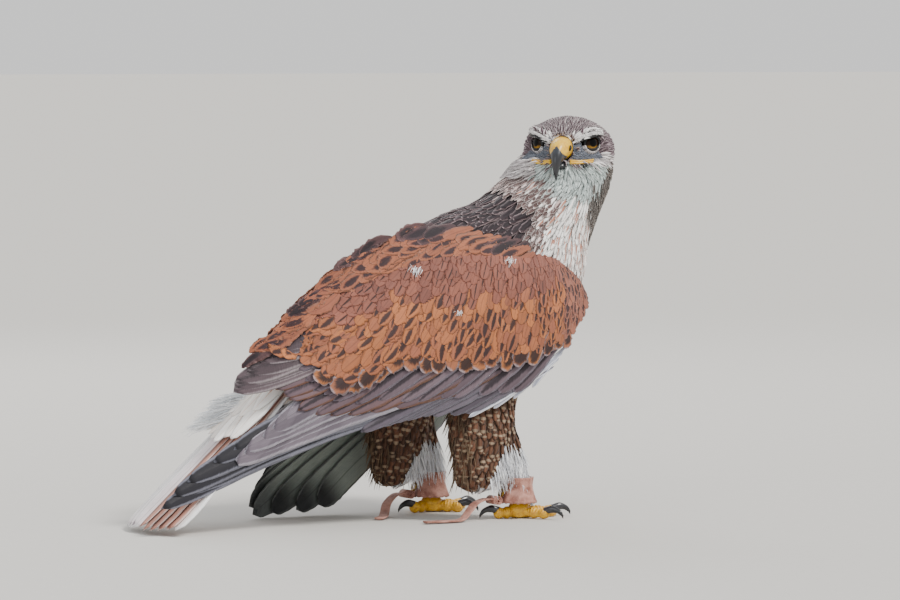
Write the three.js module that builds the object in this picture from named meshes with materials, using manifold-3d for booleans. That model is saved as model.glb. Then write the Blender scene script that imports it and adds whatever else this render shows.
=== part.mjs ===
// Ferruginous hawk, life size, standing with its wings folded and its head turned over the right shoulder.
// Millimetres. +X is the way the breast faces, +Y the bird's left, +Z up. The dimensions count from the
// floor between the feet, and the last lines move the origin to the floor under the middle of the whole bird.
import * as THREE from "three";
import { mergeVertices } from "three/addons/utils/BufferGeometryUtils.js";
import Module from "manifold-3d";

const wasm = await Module();
wasm.setup();

// Driving dimensions
const GAP = 0.3; // between touching pieces
const RIGHT = -1; // sign of Y on each side
const LEFT = 1;
const LEG_STAGGER = -35; // the left leg stands this far behind the right one
const HEAD_CENTRE = [85, -5, 308]; // between the eyes' level and the middle of the skull
const HEAD_TURN = -131; // degrees from the heading to the way the bill points
const TAIL_SLOPE = 42.5; // degrees below the horizontal
const TAIL_ROOT = [-150, 0, 159]; // where the tail leaves the rump, on its upper face
const TAIL_LENGTH = 233;
const TAIL_SPREAD = 11.8; // degrees from the middle line to an outer feather
const TAIL_FEATHERS = 12;
const FEATHER_THICKNESS = 1.2;
const SHINGLE = 0.24; // how steeply a feather leans over the next one, as rise over width
const EYE_RADIUS = 10;
const SLIVER = 0.05; // smaller steps than this are smoothed out of a joined surface

const point = (x, y, z) => new THREE.Vector3(x, y, z);
const degrees = (angle) => (angle * Math.PI) / 180;
const { clamp, lerp } = THREE.MathUtils;

// A repeatable number between -1 and 1 for each seed.
function jitter(seed) {
  const wave = Math.sin(seed * 127.1) * 43758.5453;
  return 2 * (wave - Math.floor(wave)) - 1;
}

// Solids
function solidOf(positions, index) {
  const geometry = new THREE.BufferGeometry();
  geometry.setAttribute("position", new THREE.Float32BufferAttribute(positions, 3));
  geometry.setIndex(index);
  return solidFrom(geometry);
}

// A three.js geometry as a solid with its faces pointing out.
function solidFrom(geometry) {
  geometry.deleteAttribute("normal");
  geometry.deleteAttribute("uv");
  const merged = mergeVertices(geometry, 1e-4);
  const build = (triVerts) =>
    new wasm.Manifold(
      new wasm.Mesh({
        numProp: 3,
        vertProperties: merged.attributes.position.array,
        triVerts,
      }),
    );
  const solid = build(new Uint32Array(merged.index.array));
  return solid.volume() > 0 ? solid : build(new Uint32Array(merged.index.array).reverse());
}

function geometryOf(solid) {
  const mesh = solid.getMesh();
  const positions = [];
  for (let v = 0; v < mesh.numVert; v++) {
    positions.push(...mesh.vertProperties.slice(v * mesh.numProp, v * mesh.numProp + 3));
  }
  const geometry = new THREE.BufferGeometry();
  geometry.setAttribute("position", new THREE.Float32BufferAttribute(positions, 3));
  geometry.setIndex([...mesh.triVerts]);
  return geometry.toNonIndexed();
}

const join = (solids) => wasm.Manifold.union(solids);

function largest(solid) {
  return solid.decompose().reduce((best, next) => (next.volume() > best.volume() ? next : best));
}

// Keeps what lies above the floor.
const aboveFloor = (solid) => solid.trimByPlane([0, 0, 1], 0);

// A closed surface through rings of points, with a point at each end. A thin surface has rings of four
// points that start at an edge, and its two faces are split along the same diagonals.
function skinOver(rings, start, end, thin = false) {
  const count = rings[0].length;
  const last = rings.length - 1;
  const positions = [start, ...rings.flat(), end].flatMap((p) => p.toArray());
  const at = (ring, k) => 1 + ring * count + (k % count);
  const tip = 1 + rings.length * count;
  const index = [];
  for (let k = 0; k < count; k++) {
    index.push(0, at(0, k + 1), at(0, k), tip, at(last, k), at(last, k + 1));
    for (let ring = 0; ring < last; ring++) {
      const [a, b] = [at(ring, k), at(ring, k + 1)];
      const [c, d] = [at(ring + 1, k + 1), at(ring + 1, k)];
      const turned = thin && k % 2 === 1;
      index.push(...(turned ? [a, b, d, b, c, d] : [a, b, c, a, c, d]));
    }
  }
  return solidOf(positions, index);
}

// A smooth function of 0 to 1 through a few points.
function through(points) {
  const curve = new THREE.CatmullRomCurve3(points, false, "catmullrom", 0.5);
  return (share) => curve.getPoint(clamp(share, 0, 1));
}

// A body lofted through oval sections. Each row holds a centre and the oval's two half axes. A grow above
// 0 thickens the body.
function loft({ rows, start, end, sides, steps, grow = 0 }) {
  const centre = through(rows.map((row) => row.centre));
  const first = through(rows.map((row) => row.u));
  const second = through(rows.map((row) => row.v));
  const rings = [];
  for (let step = 0; step <= steps; step++) {
    const share = step / steps;
    const [c, u, v] = [centre(share), first(share), second(share)];
    const ring = [];
    for (let side = 0; side < sides; side++) {
      const angle = (2 * Math.PI * side) / sides;
      ring.push(
        c
          .clone()
          .addScaledVector(u, Math.cos(angle) * (1 + grow / u.length()))
          .addScaledVector(v, Math.sin(angle) * (1 + grow / v.length())),
      );
    }
    rings.push(ring);
  }
  const push = (from, to) => to.clone().addScaledVector(to.clone().sub(from).normalize(), grow);
  return skinOver(rings, push(rows[0].centre, start), push(rows.at(-1).centre, end));
}

function ellipsoid(centre, radii, detail) {
  const geometry = new THREE.SphereGeometry(1, detail, Math.round(detail * 0.7));
  geometry.scale(...radii).translate(...centre);
  return solidFrom(geometry);
}

// Feathers. A chart gives a point from two numbers on a surface and a distance outwards from it.
// Each row of the profile gives a share of the length and the share of the full width there.
const VANE_PROFILE = [
  [0, 0.4],
  [0.35, 1],
  [0.78, 0.92],
  [0.93, 0.58],
];

// One feather from root to tip. The side that the tilt raises is its lower or outer edge.
function vane(chart, { root, tip, half, out, tilt = SHINGLE, bow = 0, profile = VANE_PROFILE }) {
  const along = tip.clone().sub(root);
  const side = point(-along.y, along.x, 0).normalize();
  const place = (share, across, lift) => {
    const middle = root.clone().addScaledVector(along, share);
    middle.addScaledVector(side, across + bow * 4 * share * (1 - share));
    return chart(middle.x, middle.y, lerp(out[0], out[1], share) + lift);
  };
  const rings = profile.map(([share, wide]) => {
    const reach = half * wide;
    return [
      place(share, reach, tilt * reach),
      place(share, 0, FEATHER_THICKNESS / 2),
      place(share, -reach, -tilt * reach),
      place(share, 0, -FEATHER_THICKNESS / 2),
    ];
  });
  return skinOver(rings, place(-0.03, 0, 0), place(1, 0, 0), true);
}

// A tier of feathers whose roots and tips lie along two lines, each feather over the one before it.
function tier(chart, { count, roots, tips, seed, ...shape }) {
  const rootLine = through(roots.map((place) => point(...place, 0)));
  const tipLine = through(tips.map((place) => point(...place, 0)));
  return Array.from({ length: count }, (_, k) => {
    const share = k / (count - 1);
    const root = rootLine(share);
    const reach = 1 + 0.012 * jitter(seed + k);
    const tip = root.clone().lerp(tipLine(share), reach);
    return vane(chart, { ...shape, root, tip, half: shape.half * (1 + 0.05 * jitter(seed - k)) });
  });
}

// Torso: each row gives a point of the back's line, one of the belly's line, and the half width.
const TORSO_ROWS = [
  { back: [44, 268], belly: [90, 244], half: 24 },
  { back: [24, 266], belly: [101, 222], half: 40 },
  { back: [1, 260], belly: [98, 197], half: 48 },
  { back: [-30, 252], belly: [84, 158], half: 52 },
  { back: [-64, 236], belly: [52, 122], half: 53 },
  { back: [-99, 212], belly: [2, 99], half: 50 },
  { back: [-129, 184], belly: [-55, 92], half: 41 },
  { back: [-150, 161], belly: [-105, 98], half: 30 },
  { back: [-163, 147], belly: [-138, 108], half: 19 },
];

// Rows of points on the back and the front as oval sections.
function sectionRows(rows, middle = () => 0) {
  return rows.map(({ back, belly, half }, k) => ({
    centre: point((back[0] + belly[0]) / 2, middle(k), (back[1] + belly[1]) / 2),
    u: point((back[0] - belly[0]) / 2, 0, (back[1] - belly[1]) / 2),
    v: point(0, half, 0),
  }));
}

const torsoLoft = (grow) =>
  loft({
    rows: sectionRows(TORSO_ROWS),
    start: point(66, 0, 259),
    end: point(-157, 0, 122),
    sides: 20,
    steps: 15,
    grow,
  });

// Neck
const NECK_ROWS = [
  { back: [-6, 255], belly: [97, 208], half: 45 },
  { back: [5, 263], belly: [104, 230], half: 45 },
  { back: [21, 275], belly: [112, 252], half: 44 },
  { back: [35, 287], belly: [121, 273], half: 42 },
  { back: [47, 299], belly: [124, 290], half: 37 },
];
const neckLoft = () =>
  loft({
    rows: sectionRows(NECK_ROWS, (k) => -1.2 * k),
    start: point(38, 0, 222),
    end: point(84, -5, 302),
    sides: 20,
    steps: 7,
  });

// Head, in its own frame: x towards the bill's tip, y to the bird's left, z up.
const headFrame = new THREE.Matrix4()
  .makeTranslation(...HEAD_CENTRE)
  .multiply(new THREE.Matrix4().makeRotationZ(degrees(HEAD_TURN)));
const onHead = (x, y, z) => point(x, y, z).applyMatrix4(headFrame);

// Each row: distance forward, half width, top, bottom.
const SKULL_ROWS = [
  [-36, 18, 4, -16],
  [-28, 30, 15, -28],
  [-14, 37.5, 21.5, -34],
  [0, 37.5, 23, -35],
  [11, 34, 21, -32],
  [20, 26, 16, -27],
  [27, 18.5, 10.5, -22],
  [33, 11.5, 5.5, -17.5],
];

function skullLoft() {
  const rows = SKULL_ROWS.map(([x, half, top, bottom]) => ({
    centre: point(x, 0, (top + bottom) / 2),
    u: point(0, 0, (top - bottom) / 2),
    v: point(0, half, 0),
  }));
  const inFrame = loft({ rows, start: point(-39, 0, -6), end: point(36, 0, -6), sides: 18, steps: 10 });
  return inFrame.transform(headFrame.elements);
}

// The left eye, in the head's frame: its centre, the way it looks, and how far out the rim of its lids lies
const EYE_CENTRE = [12.5, 17.5, 0];
const EYE_AXIS = [0.72, 0.69, 0.08];
const LID_LEVEL = 5.4;
const LID_RING = 8.4;
const SOCKET_DEPTH = 7;

const mirrored = ([x, y, z], side) => point(x, y * side, z);
const eyeAxis = (side) => mirrored(EYE_AXIS, side).normalize();
const onEye = (side, outwards) => mirrored(EYE_CENTRE, side).addScaledVector(eyeAxis(side), outwards);
const ball = (centre, radius, detail) =>
  ellipsoid(centre.applyMatrix4(headFrame).toArray(), [radius, radius, radius], detail);
const eyeball = (side, grow = 0) => ball(onEye(side, 0), EYE_RADIUS + grow, 12);
const socket = (side) => ball(onEye(side, SOCKET_DEPTH), EYE_RADIUS + 1, 12);

// The rim of both lids: a ring that lies on the eyeball.
function lidRing(side) {
  const ring = new THREE.TorusGeometry(LID_RING, 2, 5, 14);
  ring.applyQuaternion(new THREE.Quaternion().setFromUnitVectors(point(0, 0, 1), eyeAxis(side)));
  ring.translate(...onEye(side, LID_LEVEL).toArray());
  ring.applyMatrix4(headFrame);
  return solidFrom(ring);
}

// A tapered bar through points of the head's frame, used for the brow and the lips.
function headBar(points, radii, sides, steps) {
  const rows = points.map((xyz, k) => {
    const before = point(...points[Math.max(k - 1, 0)]);
    const along = point(...points[Math.min(k + 1, points.length - 1)]).sub(before).normalize();
    const across = point(0, 0, 1).cross(along).normalize();
    return {
      centre: onHead(...xyz),
      u: across.clone().transformDirection(headFrame).multiplyScalar(radii[k]),
      v: along.clone().cross(across).transformDirection(headFrame).multiplyScalar(radii[k]),
    };
  });
  const beyond = (from, to, reach) =>
    rows[to].centre
      .clone()
      .addScaledVector(rows[to].centre.clone().sub(rows[from].centre).normalize(), reach);
  const end = rows.length - 1;
  return loft({
    rows,
    start: beyond(1, 0, radii[0] * 0.6),
    end: beyond(end - 1, end, radii[end] * 0.6),
    sides,
    steps,
  });
}

const brow = (side) =>
  headBar(
    [
      [29, 7 * side, 3.5],
      [23, 15.5 * side, 8],
      [15, 24 * side, 10.5],
      [4, 30 * side, 9.5],
    ],
    [2.6, 4.2, 4.8, 3.4],
    7,
    5,
  );

// The yellow gape runs from the bill back under the eye, as an upper and a lower lip with the mouth's line
// between them.
const lip = (side, lower) =>
  headBar(
    [
      [34, 8 * side, -11.6 - lower * 2.6],
      [25, 17.5 * side, -13 - lower * 2.6],
      [14, 27.5 * side, -14 - lower * 2.3],
      [5, 32.5 * side, -14.6 - lower * 1.6],
    ],
    [1.7, 1.7, 1.5, 1.1],
    5,
    4,
  );

// Bill: each row gives forward, height, half height, half width and the slope of its curve, in the head's
// frame.
const BILL_ROWS = [
  [27, -3.5, 9.6, 8.8, 0],
  [36, -4, 9.2, 7.6, 8],
  [43.5, -7.5, 7.8, 6, 30],
  [48.5, -14.5, 5.4, 4.1, 58],
  [50.4, -22.5, 2.8, 2.2, 78],
];
const CERE_END = 40;

function billLoft(grow = 0) {
  const rows = BILL_ROWS.map(([x, z, high, half, pitch]) => ({
    centre: point(x, 0, z),
    u: point(Math.sin(degrees(pitch)) * high, 0, Math.cos(degrees(pitch)) * high),
    v: point(0, half, 0),
  }));
  return loft({
    rows,
    start: point(25, 0, -3.5),
    end: point(50.2, 0, -29.5),
    sides: 12,
    steps: 8,
    grow,
  }).transform(headFrame.elements);
}

function lowerBillLoft(grow = 0) {
  const rows = [
    { centre: point(24, 0, -15.5), u: point(0, 0, 5), v: point(0, 8, 0) },
    { centre: point(34, 0, -16.5), u: point(0, 0, 4), v: point(0, 6.2, 0) },
    { centre: point(42, 0, -18.5), u: point(0, 0, 2.4), v: point(0, 3.4, 0) },
  ];
  return loft({
    rows,
    start: point(22, 0, -15.5),
    end: point(44.6, 0, -19),
    sides: 10,
    steps: 4,
    grow,
  }).transform(headFrame.elements);
}

const nostril = (side) => ellipsoid(onHead(38.2, 7 * side, -1.5).toArray(), [1.4, 1.4, 2.1], 8);

// Cut planes, as a normal and an offset
const headForward = point(1, 0, 0).transformDirection(headFrame);
const HEAD_CUT = { normal: headForward.clone().multiplyScalar(0.15).add(point(0, 0, 1)).normalize() };
HEAD_CUT.offset = HEAD_CUT.normal.dot(point(80, -4, 281));
const NECK_CUT = { normal: point(0.44, 0, 0.9).normalize() };
NECK_CUT.offset = NECK_CUT.normal.dot(point(50, 0, 240));
const CERE_CUT = { normal: headForward, offset: headForward.dot(onHead(CERE_END, 0, 0)) };

const over = (solid, cut) => solid.trimByPlane(cut.normal.toArray(), cut.offset + GAP / 2);
const under = (solid, cut) =>
  solid.trimByPlane(cut.normal.clone().negate().toArray(), -cut.offset + GAP / 2);

// The body whole, then parted
const flesh = join([torsoLoft(0), neckLoft(), skullLoft()]);

function headSolid() {
  const skull = over(join([flesh, brow(RIGHT), brow(LEFT)]), HEAD_CUT);
  const hollowed = skull.subtract(join([socket(RIGHT), socket(LEFT)]));
  const dressed = join([
    hollowed,
    ...[RIGHT, LEFT].flatMap((side) => [lidRing(side), lip(side, 0), lip(side, 1)]),
  ]);
  return dressed.subtract(
    join([eyeball(RIGHT, GAP), eyeball(LEFT, GAP), billLoft(GAP), lowerBillLoft(GAP)]),
  );
}

// Wing sheet: the folded wing lies on a curved sheet round the body. A row for every SHEET_STEP from
// SHEET_FRONT back gives the level of the widest line, the half width there and the level of the ridge.
const SHEET_FRONT = 80;
const SHEET_STEP = -60;
const SHEET_ROWS = [
  [168, 50, 232],
  [160, 59, 258],
  [145, 60, 252],
  [120, 57, 232],
  [95, 52, 192],
  [66, 48, 132],
  [38, 44, 90],
  [24, 38, 70],
];
const SPREAD_DROP = 60; // a spread wing stands fully off the body this far below its widest line
const STEEPEST = 0.96; // the sheet stops short of lying flat, on its ridge and under the belly
const sheetRow = through(SHEET_ROWS.map((row) => point(...row)));

// A point on one side's sheet, from its place seen from the side and its distance outwards.
function onSheet(wing, x, z, out) {
  const share = (x - SHEET_FRONT) / (SHEET_STEP * (SHEET_ROWS.length - 1));
  const { x: level, y: half, z: ridge } = sheetRow(share);
  const wide = half + wing.spread * clamp((level - z) / SPREAD_DROP, 0, 1);
  const reach = z > level ? ridge - level : wing.tuck;
  const sine = clamp((z - level) / reach, -STEEPEST, STEEPEST);
  const cosine = Math.sqrt(1 - sine * sine);
  const normal = point(0, cosine / wide, sine / reach).normalize();
  return point(x, wing.side * (wide * cosine + out * normal.y), z + out * normal.z);
}

// The wing's arm under its feathers: each row gives x, the lower and upper edge, and half the thickness.
function wingPad(wing) {
  const { pad, padEnd } = wing;
  const edge = through(pad.map(([x, low, high]) => point(x, low, high)));
  const thick = through(pad.map((row) => point(row[3], 0, 0)));
  const steps = 2 * (pad.length - 1);
  const sides = 14;
  const rings = [];
  for (let step = 0; step <= steps; step++) {
    const { x, y: low, z: high } = edge(step / steps);
    const deep = thick(step / steps).x;
    const ring = [];
    for (let side = 0; side < sides; side++) {
      const angle = (2 * Math.PI * side) / sides;
      const z = (low + high) / 2 + ((high - low) / 2) * Math.sin(angle);
      ring.push(onSheet(wing, x, z, deep * Math.cos(angle)));
    }
    rings.push(ring);
  }
  const [[frontX, frontLow, frontHigh]] = pad;
  return skinOver(
    rings,
    onSheet(wing, frontX + 2, (frontLow + frontHigh) / 2, 0),
    onSheet(wing, ...padEnd, 0),
  );
}

// Each wing seen from the side, as [x, z]. A tier's roots and tips run from its lowest feather to its
// highest.
const RIGHT_WING = {
  side: RIGHT,
  spread: 0,
  tuck: 130,
  pad: [
    [71, 160, 188, 4],
    [62, 144, 206, 8],
    [46, 130, 216, 10],
    [20, 112, 226, 11],
    [-20, 98, 233, 9],
    [-60, 100, 212, 5],
  ],
  padEnd: [-112, 160],
  tiers: [
    {
      count: 7,
      roots: [[-34, 99], [-44, 128]],
      tips: [[-206, 72], [-264, 54], [-317, 20], [-305, 35], [-273, 56], [-236, 75]],
      half: 9,
      out: [-1, -1],
      bow: -10,
    },
    {
      count: 6,
      roots: [[-44, 122], [-74, 192]],
      tips: [[-236, 78], [-243, 90], [-241, 102], [-234, 112]],
      half: 12,
      out: [1.5, 1],
      bow: -4,
    },
    {
      count: 3,
      roots: [[-64, 190], [-74, 214]],
      tips: [[-222, 120], [-202, 138], [-182, 154]],
      half: 13,
      out: [4, 3],
    },
    {
      count: 4,
      roots: [[22, 124], [12, 146]],
      tips: [[-46, 90], [-95, 88], [-142, 78]],
      half: 10,
      out: [3.5, 1.6],
      bow: -3,
    },
    {
      count: 6,
      roots: [[0, 130], [-66, 196]],
      tips: [[-80, 104], [-134, 94], [-186, 92], [-212, 106], [-214, 120]],
      half: 14,
      out: [5.5, 4],
      bow: -3,
    },
    {
      count: 6,
      roots: [[40, 154], [-62, 208]],
      tips: [[4, 124], [-48, 128], [-111, 128], [-166, 118], [-192, 138], [-182, 154]],
      half: 14,
      out: [8.5, 6.5],
    },
    {
      count: 5,
      roots: [[8, 226], [-60, 238]],
      tips: [[-52, 212], [-100, 218], [-134, 208], [-158, 190]],
      half: 15,
      out: [8, 8],
    },
  ],
};

const LEFT_WING = {
  side: LEFT,
  spread: 14,
  tuck: 240,
  pad: [
    [84, 138, 170, 4],
    [74, 120, 194, 8],
    [50, 102, 212, 10],
    [20, 88, 226, 11],
    [-20, 82, 233, 9],
    [-56, 92, 212, 5],
  ],
  padEnd: [-108, 160],
  tiers: [
    {
      count: 7,
      roots: [[-14, 84], [-30, 122]],
      tips: [[-120, 6], [-158, 4], [-186, 4], [-178, 20], [-160, 40], [-146, 58]],
      half: 11,
      out: [-1, -1],
      bow: -5,
    },
    {
      count: 5,
      roots: [[-38, 118], [-66, 190]],
      tips: [[-160, 62], [-184, 82], [-194, 104]],
      half: 14,
      out: [1.5, 1],
      bow: -4,
    },
    {
      count: 3,
      roots: [[-60, 190], [-70, 214]],
      tips: [[-190, 118], [-172, 142]],
      half: 14,
      out: [4, 3],
    },
    {
      count: 3,
      roots: [[38, 108], [28, 132]],
      tips: [[-10, 58], [-50, 50], [-88, 46]],
      half: 12,
      out: [3.5, 1.6],
      bow: -3,
    },
    {
      count: 5,
      roots: [[12, 112], [-58, 194]],
      tips: [[-50, 66], [-100, 66], [-140, 84], [-168, 112]],
      half: 15,
      out: [5.5, 4],
      bow: -3,
    },
    {
      count: 5,
      roots: [[48, 140], [-56, 208]],
      tips: [[26, 98], [-30, 96], [-84, 104], [-130, 124], [-150, 150]],
      half: 15,
      out: [8.5, 6.5],
    },
    {
      count: 5,
      roots: [[8, 226], [-60, 238]],
      tips: [[-52, 212], [-100, 218], [-134, 208], [-158, 190]],
      half: 15,
      out: [8, 8],
    },
  ],
};

function wingSolid(wing) {
  const feathers = wing.tiers.flatMap((shape, k) =>
    tier((x, z, out) => onSheet(wing, x, z, out), { ...shape, seed: 20 * k + 3 }),
  );
  return join([wingPad(wing), ...feathers]);
}

// Trouser: the feathered thigh and shin, which hides the ankle. Each row gives x, y, z and the half axes.
const TROUSER_ROWS = [
  [4, 28, 134, 28, 15],
  [-8, 32, 112, 33, 18],
  [-17, 35, 90, 33, 19],
  [-17, 37, 66, 31, 19],
  [-20, 38, 45, 25, 16],
  [-24, 38, 28, 16, 11],
];

function trouserLoft(side, grow = 0) {
  const shift = side === LEFT ? LEG_STAGGER : 0;
  const rows = TROUSER_ROWS.map(([x, y, z, long, wide]) => ({
    centre: point(x + shift, y * side, z),
    u: point(long, 0, 0),
    v: point(0, wide, 0),
  }));
  return loft({
    rows,
    start: point(10 + shift, 26 * side, 144),
    end: point(-26 + shift, 38 * side, 20),
    sides: 12,
    steps: 8,
    grow,
  });
}

// A chart round one trouser: the first number runs round it from the outer side towards the back, in
// millimetres on a mean radius, and the second is the height.
const TROUSER_RADIUS = 25;
function onTrouser(side, around, z, out) {
  const heights = TROUSER_ROWS.map((row) => row[2]);
  const found = heights.findIndex((height) => height < z);
  const lower = found < 0 ? heights.length - 1 : Math.max(found, 1);
  const share = (heights[lower - 1] - z) / (heights[lower - 1] - heights[lower]);
  const [x, y, , long, wide] = TROUSER_ROWS[lower].map((value, k) =>
    lerp(TROUSER_ROWS[lower - 1][k], value, share),
  );
  const angle = around / TROUSER_RADIUS;
  const shift = side === LEFT ? LEG_STAGGER : 0;
  return point(
    x + shift - (Math.max(long, 8) + out) * Math.sin(angle),
    side * (y + (Math.max(wide, 6) + out) * Math.cos(angle)),
    z,
  );
}

// Locks of feathers on the trouser, in two tiers.
function trouserLocks(side) {
  const chart = (around, z, out) => onTrouser(side, around, z, out);
  const shape = { half: 7.2, tilt: 0, profile: [[0, 0.5], [0.4, 1], [0.8, 0.7]] };
  const row = (count, from, to, high, low, seed) =>
    Array.from({ length: count }, (_, k) => {
      const around = lerp(from, to, k / (count - 1));
      const root = point(around, high + 3 * jitter(seed + k), 0);
      const tip = point(around + 3 * jitter(seed - k), low + 4 * jitter(seed + 2 * k), 0);
      return vane(chart, { ...shape, root, tip, out: [-1.5, 2.2] });
    });
  return [...row(6, -24, 62, 62, 23, 5), ...row(5, -26, 52, 94, 56, 31)];
}

// Foot centre on the floor, for one side.
const footAt = (side) => point(15 + (side === LEFT ? LEG_STAGGER : 0), 42 * side, 0);

function tarsusLoft(side, grow = 0) {
  const foot = footAt(side);
  const row = (back, inward, z, radius) => ({
    centre: point(foot.x - back, foot.y - inward * side, z),
    u: point(radius, 0, 0),
    v: point(0, radius * 0.92, 0),
  });
  return loft({
    rows: [row(13, 5, 78, 12), row(7, 4, 58, 13), row(3, 2, 42, 10.5), row(1, 0, 26, 8.4), row(0, 0, 12, 8)],
    start: point(foot.x - 15, foot.y - 5 * side, 84),
    end: point(foot.x, foot.y, 10.6),
    sides: 12,
    steps: 7,
    grow,
  });
}

// Toes: angle from the heading towards the bird's midline, length, thickness.
const TOES = [
  { name: "middle", angle: -6, length: 33, radius: 6 },
  { name: "inner", angle: 42, length: 26, radius: 5.8 },
  { name: "outer", angle: -58, length: 27, radius: 5.2 },
  { name: "hind", angle: 172, length: 21, radius: 5.8 },
];
const TOE_LEVEL = 4.4; // height of a toe's middle line
const CLAW_REACH = 14;
const PALM = { level: 7.5, radii: [9.5, 9.5, 7] };

// The directions along and across a toe.
function toeAxes(side, toe) {
  const angle = degrees(toe.angle) * -side;
  const ahead = point(Math.cos(angle), Math.sin(angle), 0);
  return { ahead, across: point(-ahead.y, ahead.x, 0) };
}

function toeLoft(side, toe, grow = 0) {
  const foot = footAt(side);
  const { ahead, across } = toeAxes(side, toe);
  const row = (along, z, radius) => ({
    centre: foot.clone().addScaledVector(ahead, along).setZ(z),
    u: across.clone().multiplyScalar(radius),
    v: point(0, 0, radius),
  });
  const { length, radius } = toe;
  return loft({
    rows: [
      row(0, 8.5, radius * 1.1),
      row(length * 0.3, TOE_LEVEL + 1, radius),
      row(length * 0.5, TOE_LEVEL + 0.6, radius * 0.86),
      row(length * 0.75, TOE_LEVEL + 0.5, radius * 0.95),
      row(length, TOE_LEVEL, radius * 0.7),
    ],
    start: foot.clone().addScaledVector(ahead, -3).setZ(8.5),
    end: foot.clone().addScaledVector(ahead, length + 2).setZ(TOE_LEVEL),
    sides: 8,
    steps: 5,
    grow,
  });
}

function clawLoft(side, toe) {
  const foot = footAt(side);
  const { ahead, across } = toeAxes(side, toe);
  const row = (along, z, radius, pitch) => ({
    centre: foot.clone().addScaledVector(ahead, toe.length + along * CLAW_REACH).setZ(z),
    u: across.clone().multiplyScalar(radius * 0.8),
    v: ahead
      .clone()
      .multiplyScalar(Math.sin(degrees(pitch)) * radius)
      .setZ(Math.cos(degrees(pitch)) * radius),
  });
  return loft({
    rows: [
      row(-0.25, 6.6, 3.4, 0),
      row(0.25, 8.4, 3.2, 10),
      row(0.7, 6.9, 2.2, 45),
      row(0.95, 3.6, 1.1, 70),
    ],
    start: foot.clone().addScaledVector(ahead, toe.length - 0.35 * CLAW_REACH).setZ(6),
    end: foot.clone().addScaledVector(ahead, toe.length + CLAW_REACH).setZ(0.9),
    sides: 6,
    steps: 5,
  });
}

function footSolid(side) {
  const { x, y } = footAt(side);
  const palm = ellipsoid([x, y, PALM.level], PALM.radii, 10);
  return join([palm, ...TOES.map((toe) => toeLoft(side, toe))]);
}

// Tail, laid out on a sloping plane: along from the root, across to the left, out square to its upper face.
const TAIL_ARCH = 260; // the larger, the flatter its roof
function onTail(along, across, out) {
  const slope = degrees(TAIL_SLOPE);
  const rise = out - (across * across) / TAIL_ARCH;
  return point(
    TAIL_ROOT[0] - along * Math.cos(slope) - rise * Math.sin(slope),
    across,
    TAIL_ROOT[2] - along * Math.sin(slope) + rise * Math.cos(slope),
  );
}

// The tail's root: each row gives along, half width, level and half depth.
const TAIL_BLOCK = [
  [0, 18, -8, 9],
  [30, 20, -7, 7],
  [60, 20, -5, 3.5],
];

function tailBlock() {
  const rows = TAIL_BLOCK.map(([along, half, level, deep]) => ({
    centre: onTail(along, 0, level),
    u: point(0, half, 0),
    v: onTail(along, 0, level + deep).sub(onTail(along, 0, level)),
  }));
  return loft({ rows, start: onTail(-14, 0, -8), end: onTail(76, 0, -5), sides: 12, steps: 4 });
}

// One flight feather for each place from -1, the right edge, to 1, with the middle pair on top.
function tailFeather(place, seed) {
  const angle = degrees(TAIL_SPREAD * place);
  const reach = TAIL_LENGTH - 10 * place * place + 1.5 * jitter(seed);
  const root = point(12, 13 * place, 0);
  const tip = point(reach * Math.cos(angle), reach * Math.sin(angle), 0);
  const level = -3 * Math.abs(place);
  return vane(onTail, {
    root,
    tip,
    half: 11.5,
    out: [-6 + level, -2 + level],
    tilt: SHINGLE * Math.sign(place),
    profile: [[0, 0.25], [0.35, 0.75], [0.85, 1], [0.96, 0.7]],
  });
}

// Upper coverts stand off the tail on the left, and under coverts lie along its root.
function tailCoverts() {
  const upper = tier(onTail, {
    count: 5,
    roots: [[22, -15], [22, 17]],
    tips: [[96, -26], [116, 4], [112, 36]],
    half: 11,
    out: [0, 9],
    tilt: 0.1,
    seed: 61,
  });
  const lower = tier(onTail, {
    count: 3,
    roots: [[14, -12], [14, 12]],
    tips: [[78, -20], [96, 0], [78, 20]],
    half: 12,
    out: [-13, -10],
    tilt: 0.1,
    seed: 71,
  });
  return [...upper, ...lower];
}

function tailSolid() {
  const places = Array.from({ length: TAIL_FEATHERS }, (_, k) => (2 * k + 1) / TAIL_FEATHERS - 1);
  return join([tailBlock(), ...places.map((place, k) => tailFeather(place, k + 40)), ...tailCoverts()]);
}

// Worn leather
const CUFF_BACK = 1; // the cuff sits this far behind the foot's centre
const CUFF_PROFILE = [
  [11.2, 34],
  [12.8, 34],
  [12.4, 25],
  [16.6, 12.8],
  [15.2, 12.4],
  [10.6, 25],
];

function anklet(side) {
  const foot = footAt(side);
  const cuff = new THREE.LatheGeometry(
    [...CUFF_PROFILE, CUFF_PROFILE[0]].map(([r, z]) => new THREE.Vector2(r, z)),
    16,
  );
  cuff.rotateX(Math.PI / 2).scale(1, -1, 1);
  cuff.translate(foot.x - CUFF_BACK, foot.y, 0);
  return solidFrom(cuff);
}

// The brass ring in the back of the cuff
const GROMMET = { radius: 3.2, tube: 0.9, back: 16, level: 21.5 };
function grommet(side) {
  const foot = footAt(side);
  const ring = new THREE.TorusGeometry(GROMMET.radius, GROMMET.tube, 5, 12);
  ring.rotateY(Math.PI / 2).rotateY(degrees(18));
  ring.translate(foot.x - CUFF_BACK - GROMMET.back, foot.y, GROMMET.level);
  return solidFrom(ring);
}

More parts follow.
